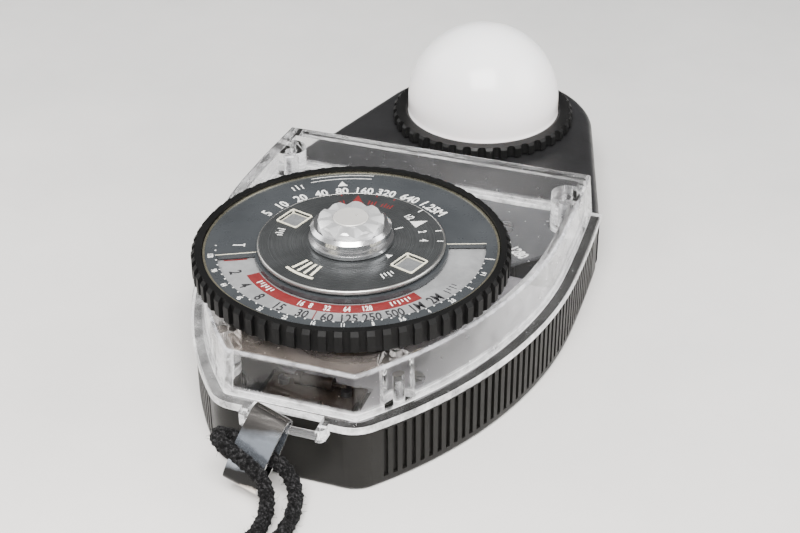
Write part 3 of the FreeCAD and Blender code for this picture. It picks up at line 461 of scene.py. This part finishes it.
# The link hangs from the lug's bar. It leans out at its foot, and it is turned in its own plane.
BAR = (-1.9, -27.8, 10.2)
LEAN, TILT = math.radians(30.0), math.radians(16.0)
ACROSS = Vector((math.cos(TILT), -math.sin(TILT) * math.sin(LEAN), -math.sin(TILT) * math.cos(LEAN)))
DOWN = Vector((-math.sin(TILT), -math.cos(TILT) * math.sin(LEAN), -math.cos(TILT) * math.cos(LEAN)))
FRONT = Vector((0.0, -math.cos(LEAN), math.sin(LEAN)))


def on_link(u, v, n):
    """A point across the link, along it from its bar, and out of its front, in millimetres."""
    return at(*BAR) + (ACROSS * u + DOWN * v + FRONT * n) * MM


LEFT_STRAND = [
    on_link(0.0, 4.0, 0.0), on_link(-2.0, 4.1, 0.0), on_link(-4.3, 3.8, -0.5),
    on_link(-5.6, 3.9, 1.6), on_link(-4.3, 4.4, 3.7), on_link(-1.9, 4.6, 3.6),
    on_link(0.6, 5.1, 3.5), on_link(3.2, 5.9, 3.1), at(0.9, -35.0, 3.4), at(1.3, -38.2, 1.6),
    at(0.2, -42.6, 1.3), at(-2.6, -47.4, 1.3), at(-5.4, -52.4, 1.3), at(-7.8, -58.6, 1.6),
]
RIGHT_STRAND = [
    on_link(0.0, 4.0, 0.0), on_link(2.4, 3.88, 0.0), on_link(4.5, 4.2, -0.5),
    at(3.1, -30.6, 2.7), at(4.3, -34.4, 1.5), at(4.3, -38.8, 1.3), at(2.8, -43.6, 1.3),
    at(4.6, -48.4, 1.3), at(11.0, -51.6, 2.0),
]
COIL_X, COIL_Y = 6.0, -67.0
# Radius and height of each of the coil's turns, in the order in which the cord lays them.
COIL_LANES = [(15.9, 1.4), (13.5, 1.35), (11.1, 1.35), (11.1, 3.6), (13.5, 3.6), (12.2, 5.8), (14.6, 5.8),
              (15.9, 3.6), (16.3, 2.1)]
POINTS_PER_TURN = 14
# A control point stands this much further out than the line that it bends.
CORNER_CUT = 1.018


def coil_angle(point):
    """The direction of a point from the coil's middle."""
    offset = point - at(COIL_X, COIL_Y, 0)
    return math.atan2(offset.y, offset.x)


def coil_points():
    """Counter-clockwise turns from the end of the left strand to the end of the right one. In each
    turn the cord moves to its next lane over a third of the way round."""
    start, end = coil_angle(LEFT_STRAND[-1]), coil_angle(RIGHT_STRAND[-1])
    last_share = ((end - start) % (2 * math.pi)) / (2 * math.pi)
    total = (len(COIL_LANES) - 2) * POINTS_PER_TURN + int(last_share * POINTS_PER_TURN)
    points = []
    for i in range(1, total):
        lane, share = divmod(i / POINTS_PER_TURN, 1.0)
        (r0, z0), (r1, z1) = COIL_LANES[int(lane)], COIL_LANES[int(lane) + 1]
        move = min(max((share - 0.48) / 0.3, 0.0), 1.0)
        move = move * move * (3 - 2 * move)
        r = (r0 + (r1 - r0) * move) * CORNER_CUT
        angle = start + 2 * math.pi * i / POINTS_PER_TURN
        x, y = COIL_X + r * math.cos(angle), COIL_Y + r * math.sin(angle)
        points.append(at(x, y, z0 + (z1 - z0) * move))
    return points


def nurbs_line(points, resolution):
    """The smooth line of a NURBS spline through these control points, as a list of vectors."""
    data = bpy.data.curves.new("route", "CURVE")
    data.dimensions = "3D"
    data.resolution_u = resolution
    spline = data.splines.new("NURBS")
    spline.points.add(len(points) - 1)
    for p, q in zip(spline.points, points):
        p.co = (*q, 1.0)
    spline.order_u = 3
    spline.use_endpoint_u = True
    holder = bpy.data.objects.new("route", data)
    bpy.context.scene.collection.objects.link(holder)
    mesh = bpy.data.meshes.new_from_object(holder)
    line = [v.co.copy() for v in mesh.vertices]
    bpy.data.objects.remove(holder)
    bpy.data.curves.remove(data)
    bpy.data.meshes.remove(mesh)
    return line


def evenly(line, step):
    """Points along the line a fixed step apart, and its length."""
    pts = np.array([tuple(p) for p in line])
    lengths = np.concatenate([[0], np.cumsum(np.linalg.norm(np.diff(pts, axis=0), axis=1))])
    count = max(2, int(round(lengths[-1] / step)))
    s = np.linspace(0, lengths[-1], count + 1)
    return np.stack([np.interp(s, lengths, pts[:, k]) for k in range(3)], axis=1), lengths[-1]


def carried_frames(points):
    """Two directions across the line at each point, carried along without twisting."""
    tangents = np.gradient(points, axis=0)
    tangents /= np.linalg.norm(tangents, axis=1)[:, None]
    side = np.cross(tangents[0], (0.0, 0.0, 1.0))
    side /= np.linalg.norm(side)
    sides = []
    for t in tangents:
        side = side - t * side.dot(t)
        side /= np.linalg.norm(side)
        sides.append(side)
    sides = np.array(sides)
    return tangents, sides, np.cross(tangents, sides)


def braid(name, points, radius, key, strands=8, pitch=0.0052):
    """A hollow braid of oval strands that pass over and under each other round a core."""
    tangents, sides, ups = carried_frames(points)
    step = np.linalg.norm(points[1] - points[0])
    s = np.arange(len(points)) * step
    thick, wide, core, lift = radius * 0.30, radius * 0.36, radius * 0.62, radius * 0.30 * 0.42
    faces = []
    tubes = []
    half = strands // 2
    for direction in (1, -1):
        for k in range(half):
            phase = 2 * math.pi * (k + (0.25 if direction < 0 else 0.0)) / half
            angle = phase + direction * 2 * math.pi * s / pitch
            weave = np.sin(half * (2 * math.pi * s / pitch) + math.pi * k) * direction
            r = radius - thick * 1.3 + weave * lift
            outward = sides * np.cos(angle)[:, None] + ups * np.sin(angle)[:, None]
            centres = points + outward * r[:, None]
            along = np.gradient(centres, axis=0)
            along /= np.linalg.norm(along, axis=1)[:, None]
            tubes.append((centres, along, outward, thick, wide, 6))
    tubes.append((points, tangents, sides, core, core, 8))
    all_verts = []
    offset = 0
    for centres, along, outward, out_size, side_size, ring in tubes:
        across = np.cross(along, outward)
        across /= np.linalg.norm(across, axis=1)[:, None]
        rings = np.stack([
            centres + outward * out_size * math.cos(2 * math.pi * k / ring)
            + across * side_size * math.sin(2 * math.pi * k / ring) for k in range(ring)], axis=1)
        all_verts.append(rings.reshape(-1, 3))
        n = len(centres)
        for i in range(n - 1):
            for k in range(ring):
                a, b = offset + i * ring + k, offset + i * ring + (k + 1) % ring
                faces.append((a, b, b + ring, a + ring))
        faces.append(tuple(offset + k for k in reversed(range(ring))))
        faces.append(tuple(offset + (n - 1) * ring + k for k in range(ring)))
        offset += n * ring
    return add_mesh(name, np.concatenate(all_verts), faces, key)


def fuzz(name, points, radius, key, count, rng):
    """Loose fibre ends that stand a little off the cord, as thin three-sided hairs."""
    tangents, sides, ups = carried_frames(points)
    verts, faces = [], []
    for _ in range(count):
        i = rng.randrange(2, len(points) - 2)
        a = rng.uniform(0, 2 * math.pi)
        out = sides[i] * math.cos(a) + ups[i] * math.sin(a)
        root = points[i] + out * radius * 0.85
        lean = tangents[i] * rng.uniform(-1.2, 1.2) + np.cross(tangents[i], out) * rng.uniform(-1.0, 1.0)
        reach = rng.uniform(0.2, 0.9) * MM
        mid = root + (out * 0.7 + lean * 0.4) * reach
        tip = mid + (out * 0.25 + lean * 0.7) * reach
        if min(mid[2], tip[2]) < 0.0001:
            continue
        hair_r = 0.03 * MM
        across = np.cross(out, lean)
        across /= max(np.linalg.norm(across), 1e-9)
        other = np.cross(across, tangents[i])
        base = len(verts)
        for p, size in ((root, 1.0), (mid, 0.8)):
            for k in range(3):
                b = 2 * math.pi * k / 3
                verts.append(p + (across * math.cos(b) + other * math.sin(b)) * hair_r * size)
        verts.append(tip)
        for k in range(3):
            j = (k + 1) % 3
            faces.append((base + k, base + j, base + 3 + j, base + 3 + k))
            faces.append((base + 3 + k, base + 3 + j, base + 6))
    return add_mesh(name, verts, faces, key, smooth=False)


def make_cord():
    """The strap: one closed loop of braid through the link, with its loose fibre ends."""
    route = LEFT_STRAND + coil_points() + RIGHT_STRAND[::-1]
    line = nurbs_line(route, 12)
    points, length = evenly(line, BRAID_STEP * MM)
    cord = braid("strap_cord", points, CORD_D / 2 * MM, "cord")
    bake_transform(cord)
    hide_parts("strap_cord_left", "strap_cord_right", "strap_cord_coil")
    hairs = fuzz("strap_cord_fibres", points, CORD_D / 2 * MM, "cord", HAIR_COUNT, random.Random(7))
    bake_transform(hairs)
    print("cord length %.4f m" % length)


make_cord()


# ---- dial printing ----
def text_mesh(body, height, narrow):
    """The flat outline mesh of one figure or number, centred, as wide as narrow makes it."""
    data = bpy.data.curves.new("figure", "FONT")
    data.body = body
    data.size = height / 0.7
    data.align_x = "CENTER"
    data.resolution_u = 3
    data.offset = height * 0.03
    data.extrude = 0.015 * MM
    holder = bpy.data.objects.new("figure", data)
    bpy.context.scene.collection.objects.link(holder)
    mesh = bpy.data.meshes.new_from_object(holder)
    verts = [Vector((v.co.x * narrow, v.co.y - height / 2, v.co.z)) for v in mesh.vertices]
    faces = [tuple(p.vertices) for p in mesh.polygons]
    bpy.data.objects.remove(holder)
    bpy.data.curves.remove(data)
    bpy.data.meshes.remove(mesh)
    return verts, faces


class Print:
    """Marks of one ink at one height on one body, gathered into a single piece."""

    def __init__(self, name, key, z, body, slot):
        self.name, self.key, self.z, self.body, self.slot = name, key, z, body, slot
        self.verts, self.faces = [], []

    def add(self, verts, faces, matrix):
        """Takes in one mark's mesh, placed by matrix."""
        base = len(self.verts)
        self.verts += [matrix @ v for v in verts]
        self.faces += [tuple(base + i for i in f) for f in faces]

    def number(self, text, r, degrees, height, narrow=0.68, inward=False):
        """A number at a radius and an angle, its foot towards the axis, or away from it if inward."""
        verts, faces = text_mesh(text, height * MM, narrow)
        turn = Matrix.Rotation(math.radians(degrees + (90 if inward else -90)), 4, "Z")
        self.add(verts, faces, Matrix.Translation(polar(r, degrees, self.z)) @ turn)

    def plate(self, outline):
        """A flat mark from its outline, given in millimetres about the dial's axis."""
        low = [at(x, y, self.z - 0.01) for x, y in outline]
        high = [at(x, y, self.z + 0.015) for x, y in outline]
        n = len(outline)
        faces = [tuple(range(n - 1, -1, -1)), tuple(range(n, 2 * n))]
        faces += [(i, (i + 1) % n, n + (i + 1) % n, n + i) for i in range(n)]
        self.add(low + high, faces, Matrix.Identity(4))

    def tick(self, r0, r1, degrees, width):
        """A radial bar from r0 to r1."""
        a = math.radians(degrees)
        out = Vector((math.cos(a), math.sin(a)))
        side = Vector((-out.y, out.x)) * width / 2
        self.plate([tuple(p) for p in (out * r0 - side, out * r1 - side, out * r1 + side, out * r0 + side)])

    def band(self, r0, r1, deg0, deg1, steps=48):
        """A stretch of ring between two radii and two angles."""
        for i in range(steps):
            a0 = math.radians(deg0 + (deg1 - deg0) * i / steps)
            a1 = math.radians(deg0 + (deg1 - deg0) * (i + 1) / steps)
            corners = ((r0, a0), (r1, a0), (r1, a1), (r0, a1))
            self.plate([(r * math.cos(a), r * math.sin(a)) for r, a in corners])

    def arrow(self, r_base, r_tip, degrees, width):
        """A triangle that points from r_base to r_tip."""
        a = math.radians(degrees)
        out = Vector((math.cos(a), math.sin(a)))
        side = Vector((-out.y, out.x)) * width / 2
        if r_tip > r_base:
            side = -side
        self.plate([tuple(p) for p in (out * r_tip, out * r_base + side, out * r_base - side)])

    def done(self):
        """Makes the piece."""
        obj = add_mesh(self.name, self.verts, self.faces, self.key, smooth=False)
        bm = bmesh.new()
        bm.from_mesh(obj.data)
        bmesh.ops.recalc_face_normals(bm, faces=bm.faces)
        bm.to_mesh(obj.data)
        bm.free()
        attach(obj, self.body)
        return obj


# Heights of the printed marks on the wheel's face, the shutter disc, the film disc and the scale plate.
FACE_Z, SHUTTER_Z, FILM_Z, PLATE_Z = 23.205, 22.205, 24.105, 10.93


def print_dial_face():
    """Light values with their index at the top, the aperture ring, and the edges of its window."""
    white = Print("face_print_white", "ink_white", FACE_Z, "dial", "dial_black")
    lights = [("5", 163.9), ("10", 152.7), ("20", 140.1), ("40", 127.7), ("80", 116.0), ("160", 103.8),
              ("320", 91.1), ("640", 76.6), ("1.25M", 60.0)]
    for text, degrees in lights:
        white.number(text, 15.9, degrees, 1.75, 0.80)
    white.arrow(17.4, 18.8, 115.2, 1.5)
    white.band(19.55, 19.68, 101.5, 129.5)
    white.band(20.55, 20.66, 101.0, 128.5)
    for i in range(3):
        white.tick(18.3, 19.5 + 0.3 * (i == 1), 134.5 + 2.3 * i, 0.22)
    white.tick(15.7, 17.3, -161.0, 0.24)
    white.tick(15.5, 15.72, -161.0, 0.7)
    stop_pitch = 11.5
    stops = ["1", "1.4", "2", "2.8", "4", "5.6", "8", "11", "16", "22", "32", "45", "64", "90", "128"]
    for i, text in enumerate(stops):
        degrees = 8.0 - stop_pitch * i
        if i:
            white.number(text, 20.45, degrees, 0.8, 0.66, inward=True)
        else:
            white.tick(19.75, 21.1, degrees, 0.16)
        white.tick(19.62, 19.8, degrees, 0.16)
        for j in (1, 2):
            white.tick(19.62, 19.84, degrees - stop_pitch * j / 3, 0.22)
    white.band(19.6, 19.66, 19.6, 20.0, 2)
    white.done()
    edge = Print("face_window_line", "ink_cream", FACE_Z, "dial", "dial_black")
    edge.tick(13.9, 19.7, 20.0, 0.14)
    edge.tick(13.9, 19.7, -153.0, 0.14)
    edge.done()


def print_shutter_scale():
    """Shutter times in black with their fine ticks, and the red band of frame rates inside them."""
    black = Print("shutter_print_black", "ink_black", SHUTTER_Z, "film_speed", "scale_white")
    speeds = [("2", -141.7), ("4", -129.2), ("8", -117.0), ("15", -104.6), ("30", -92.3), ("60", -80.5),
              ("125", -70.6), ("250", -59.9), ("500", -49.1), ("1M", -38.0), ("2M", -27.3)]
    for text, degrees in speeds:
        black.number(text, 17.35, degrees, 1.75, 0.72, inward=True)
    for i in range(44):
        degrees = -147.0 + 2.95 * i
        black.tick(19.3 - 0.3 * (i % 4 == 0), 19.58, degrees, 0.10)
    for i in range(4):
        black.tick(16.9, 18.2 - 0.5 * (i % 2), -19.5 + 2.3 * i, 0.17)
    black.done()
    red = Print("shutter_print_red", "ink_red", SHUTTER_Z, "film_speed", "scale_white")
    red.band(14.25, 16.15, -137.0, -31.5, 60)
    red.tick(16.2, 18.4, -86.4, 0.17)
    red.tick(15.2, 18.6, -152.6, 0.3)
    red.done()
    white = Print("shutter_print_white", "ink_white", SHUTTER_Z + 0.02, "film_speed", "scale_white")
    for text, degrees in [("8", -91.0), ("16", -96.8), ("32", -82.0), ("64", -71.6), ("128", -61.2)]:
        white.number(text, 15.2, degrees, 1.15, 0.62, inward=True)
    for first in (-128.0, -48.0):
        for i in range(6):
            white.tick(14.7, 15.7 - 0.35 * (i % 2), first + 2.2 * i, 0.2)
    white.done()


def print_film_disc():
    """Red and white index arrows, factors and ticks, and a plain cream mark of bars."""
    red = Print("film_print_red", "ink_red", FILM_Z, "film_speed", "dial_black")
    red.arrow(10.4, 12.9, 106.0, 1.9)
    for degrees, mark in ((118.0, 0), (94.0, 1), (81.5, 2)):
        for j in range(2 + mark):
            red.tick(10.3, 11.5 - 0.3 * (j % 2), degrees + 2.6 * (j - (1 + mark) / 2), 0.22)
        red.tick(12.8, 13.25, degrees - 0.7, 0.2)
    red.done()
    white = Print("film_print_white", "ink_white", FILM_Z, "film_speed", "dial_black")
    white.arrow(9.9, 12.3, 44.5, 1.9)
    white.number("1", 7.6, 44.0, 1.35, 0.7)
    for degrees, text in ((56.5, "1/2"), (31.0, "2"), (18.0, "4")):
        white.number(text, 10.6, degrees, 1.2, 0.66)
    for degrees in (30.0, 17.2, 58.0):
        white.tick(12.5, 13.4, degrees, 0.2)
    for centre in (187.0, -41.0):
        for i in range(4):
            white.tick(10.2, 11.4 - 0.4 * (i % 2), centre + 3.0 * (i - 1.5), 0.2)
    white.arrow(7.4, 6.5, -20.0, 1.1)
    white.arrow(7.4, 6.5, 163.0, 1.1)
    white.done()
    cream = Print("film_index_mark", "ink_cream", FILM_Z, "film_speed", "dial_black")
    for i in range(4):
        cream.tick(8.2, 11.0, -118.5 + 6.0 * i, 0.42)
    cream.band(11.3, 11.75, -122.0, -97.0, 10)
    cream.done()


def print_needle_scale():
    """Foot-candle scale on the plate under the cover."""
    white = Print("needle_scale_print", "ink_white", PLATE_Z, "root", "scale_grey")
    first, pitch = 127.0, 7.55
    values = ["0", "2.5", "5", "10", "20", "40", "80", "160", "320", "640", "1280"]
    for i, text in enumerate(values):
        degrees = first - pitch * i
        white.number(text, 30.4, degrees, 1.9, 0.66)
        white.tick(27.4, 28.9, degrees, 0.26)
        if i < len(values) - 1:
            for j in (1, 2, 3):
                white.tick(27.4, 28.1, degrees - pitch * j / 4, 0.14)
    white.band(27.15, 27.35, first, 51.5, 40)
    white.done()


print_dial_face()
print_shutter_scale()
print_film_disc()
print_needle_scale()


# ---- shaped pieces ----
def lathe(name, profile, x, y, key, body, segments=160):
    """A turned piece from its closed (radius, height) outline in millimetres, about the vertical
    at x, y."""
    n = len(profile)
    verts = []
    for i in range(segments):
        a = 2 * math.pi * i / segments
        verts += [at(x + r * math.cos(a), y + r * math.sin(a), z) for r, z in profile]
    faces = []
    for i in range(segments):
        j = (i + 1) % segments
        for k in range(n):
            m = (k + 1) % n
            faces.append((i * n + k, j * n + k, j * n + m, i * n + m))
    obj = add_mesh(name, verts, faces, key)
    bm = bmesh.new()
    bm.from_mesh(obj.data)
    bmesh.ops.remove_doubles(bm, verts=bm.verts, dist=1e-7)
    bmesh.ops.recalc_face_normals(bm, faces=bm.faces)
    bm.to_mesh(obj.data)
    bm.free()
    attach(obj, body)
    return obj


def make_dome():
    """Smooth diffuser: hemisphere, short skirt and base flange, open underneath."""
    head_y = 67.0
    outer_r, wall, centre_z, base_z = 13.6, 1.4, 15.5, 12.0
    flange_r, flange_z = 14.35, 12.85
    steps = 48

    def quarter(r):
        turns = [math.pi / 2 * i / steps for i in range(steps)]
        return [(r * math.cos(a), centre_z + r * math.sin(a)) for a in turns] + [(0.0, centre_z + r)]

    inner_r = outer_r - wall
    outline = [(flange_r, base_z), (flange_r, flange_z), (outer_r, flange_z), (outer_r, 14.2)]
    outline += quarter(outer_r) + quarter(inner_r)[::-1] + [(inner_r, base_z)]
    dome = lathe("dome_diffuser", outline, 0, head_y, "white_dome", "receptor", 192)
    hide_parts("dome")


def on_film_disc(degrees, x, y):
    """The x, y in millimetres about the axis of a point in a film-speed window, from its middle."""
    window_r = 10.55
    turn = math.radians(degrees)
    return ((window_r + x) * math.cos(turn) - y * math.sin(turn),
            (window_r + x) * math.sin(turn) + y * math.cos(turn))


def make_window_frames():
    """Bevelled cream frames round the two film-speed windows, each with a blank card in it."""
    corner_r = 0.3
    section = ((1.93, 2.08, 24.09), (1.90, 2.05, 24.2), (1.70, 1.85, 24.2), (1.63, 1.78, 23.58))
    for number, degrees in enumerate((164.0, -18.0)):
        bm = bmesh.new()
        rings = []
        for half_x, half_y, z in section:
            ring = []
            for cx, cy in ((1, 1), (-1, 1), (-1, -1), (1, -1)):
                for j in range(4):
                    a = math.atan2(cy, cx) + math.radians(-45 + 30 * j)
                    x = cx * (half_x - corner_r) + corner_r * math.cos(a)
                    y = cy * (half_y - corner_r) + corner_r * math.sin(a)
                    ring.append(bm.verts.new(at(*on_film_disc(degrees, x, y), z)))
            rings.append(ring)
        n = len(rings[0])
        for a, b in zip(rings, rings[1:] + rings[:1]):
            for i in range(n):
                bm.faces.new((a[i], a[(i + 1) % n], b[(i + 1) % n], b[i]))
        bmesh.ops.recalc_face_normals(bm, faces=bm.faces)
        mesh = bpy.data.meshes.new("window_frame_%d" % number)
        bm.to_mesh(mesh)
        bm.free()
        obj = bpy.data.objects.new("window_frame_%d" % number, mesh)
        bpy.context.scene.collection.objects.link(obj)
        paint(obj, "ink_cream")
        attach(obj, "film_speed")
        card = Print("window_card_%d" % number, "window_grey", 23.6, "film_speed", "dial_black")
        corners = ((-1.6, -1.75), (1.6, -1.75), (1.6, 1.75), (-1.6, 1.75))
        card.plate([on_film_disc(degrees, x, y) for x, y in corners])
        card.done()


def make_disc_edge():
    """The bright rolled edge of the film disc."""
    lathe("film_disc_edge", [(13.45, 24.08), (13.55, 24.15), (13.72, 23.97), (13.74, 23.5), (13.6, 23.5)],
          0, 0, "satin_metal", "film_speed")


def make_button_spring():
    """Open-wound spring between the spindle's end and the button's head; pressing the button closes it."""
    coil_r, wire_r, turns, per_turn, ring = 1.9, 0.18, 4, 40, 10
    low, high = (corner[2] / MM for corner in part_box("button_spring"))
    rise = (high - low - 2 * wire_r) / turns
    verts, faces = [], []
    steps = turns * per_turn
    for i in range(steps + 1):
        a = 2 * math.pi * i / per_turn
        z = low + wire_r + rise * i / per_turn
        for k in range(ring):
            b = 2 * math.pi * k / ring
            r = coil_r + wire_r * math.cos(b)
            verts.append(at(r * math.cos(a), r * math.sin(a), z + wire_r * math.sin(b)))
    for i in range(steps):
        for k in range(ring):
            m = (k + 1) % ring
            faces.append((i * ring + k, (i + 1) * ring + k, (i + 1) * ring + m, i * ring + m))
    faces.append(tuple(reversed(range(ring))))
    faces.append(tuple(steps * ring + k for k in range(ring)))
    spring = add_mesh("button_spring_coil", verts, faces, "steel")
    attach(spring, "root")
    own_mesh(spring)
    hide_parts("button_spring")


make_dome()
make_window_frames()
make_disc_edge()
make_button_spring()


# ---- CAD pieces keep their shape and take the scene's materials ----
NODE_KEYS = {
    "rear_case": "black_case", "back_plate": "black_matte", "clear_cover": "clear",
    "case_screws": "steel", "chassis_plate": "plate_silver", "plate_screws": "steel",
    "scale_plate": "scale_grey", "movement_yoke": "steel", "core_magnet": "magnet",
    "core_holder": "brass", "lower_bridge": "brass", "upper_bridge": "brass",
    "bridge_screws": "steel", "jewel_screws": "brass", "moving_coil": "copper",
    "pivot_staffs": "steel", "pointer": "needle", "balance_weights": "brass",
    "hairsprings": "copper", "zero_screw": "brass", "zero_lever": "brass",
    "terminal_board": "board", "terminals": "dark_steel", "calibration_resistors": "board",
    "brake_bracket": "steel", "brake_pin": "steel", "brake_lever": "steel",
    "dial_spindle": "satin_metal", "spindle_nut": "brass", "dial_wheel": "wheel",
    "wheel_bush": "brass", "dial_face": "dial_black", "dial_trim_ring": "gilt",
    "shutter_disc": "scale_white", "film_disc": "film_disc", "knob_collar": "chrome",
    "knob_cap": "cap_satin", "stop_button": "button_satin", "button_clip": "steel",
    "button_spring": "steel", "head_front_shell": "head", "head_rear_shell": "head",
    "head_screws": "steel", "swivel_hub": "satin_metal", "swivel_nut": "steel",
    "friction_washer": "fibre", "contact_rings": "copper", "contact_brushes": "copper",
    "brush_block": "board", "photocell": "cell", "cell_back_spring": "copper",
    "cell_contact_ring": "copper", "cell_clamp_ring": "dark_steel", "bayonet_seat": "dark_steel",
    "dome_ring": "black_matte", "strap_link": "link_chrome",
}
for node, key in NODE_KEYS.items():
    paint(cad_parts[node], key)


# ---- stage ----
def make_stage():
    """A pale floor with painted shade that darkens it towards the back, a soft room and three soft panels
    of light.
    """
    size = 1.6
    floor = add_mesh("floor", [(-size, -size, 0), (size, -size, 0), (size, size, 0), (-size, size, 0)],
                     [(0, 1, 2, 3)], "board", smooth=False)
    s = Shader("floor_pale")
    _, y, _ = s.split(s.coords)
    # painted shade: the floor's colour is darkened towards the back, with a faint mottling over it
    back_painted_shade = s.ramp(y, -0.10, 0.14, 0.0, 1.0)
    painted_shade_and_mottling = s.total(back_painted_shade, s.ramp(s.noise(16, 5, 0.65), 0.35, 0.65, -0.12, 0.12))
    s.color(s.blend(painted_shade_and_mottling, (0.80, 0.775, 0.75), (0.50, 0.50, 0.495)))
    s.rough(s.ramp(s.noise(40, 5, 0.6), 0.3, 0.7, 0.45, 0.6))
    floor.data.materials[0] = s.mat

    world = bpy.data.worlds.new("soft_room")
    world.use_nodes = True
    tree = world.node_tree
    sky = tree.nodes["Background"]
    sky.inputs["Strength"].default_value = 0.66
    # The room is dim behind the meter and bright in front, above and at the sides.
    direction = tree.nodes.new("ShaderNodeTexCoord")
    parts = tree.nodes.new("ShaderNodeSeparateXYZ")
    tree.links.new(direction.outputs["Generated"], parts.inputs[0])
    dim = tree.nodes.new("ShaderNodeMapRange")
    for key, value in (("From Min", 0.05), ("From Max", 0.7), ("To Min", 1.0), ("To Max", 0.28)):
        dim.inputs[key].default_value = value
    tree.links.new(parts.outputs["Y"], dim.inputs["Value"])
    tree.links.new(dim.outputs["Result"], sky.inputs["Color"])
    bpy.context.scene.world = world

    def area(name, where, aim, width, height, power, tint=(1, 1, 1)):
        data = bpy.data.lights.new(name, "AREA")
        data.shape = "RECTANGLE"
        data.size, data.size_y = width, height
        data.energy = power
        data.color = tint
        obj = bpy.data.objects.new(name, data)
        bpy.context.scene.collection.objects.link(obj)
        obj.location = where
        obj.rotation_euler = (Vector(aim) - Vector(where)).to_track_quat("-Z", "Y").to_euler()

    area("top_panel", (0.12, -0.42, 0.62), (0.02, -0.14, 0), 0.5, 0.4, 17.0, (1.0, 0.985, 0.965))
    area("right_panel", (0.75, 0.15, 0.40), (0, 0, 0), 0.6, 0.45, 5.0)
    area("left_panel", (-0.8, 0.1, 0.5), (0, 0, 0), 0.6, 0.5, 3.0)


make_stage()
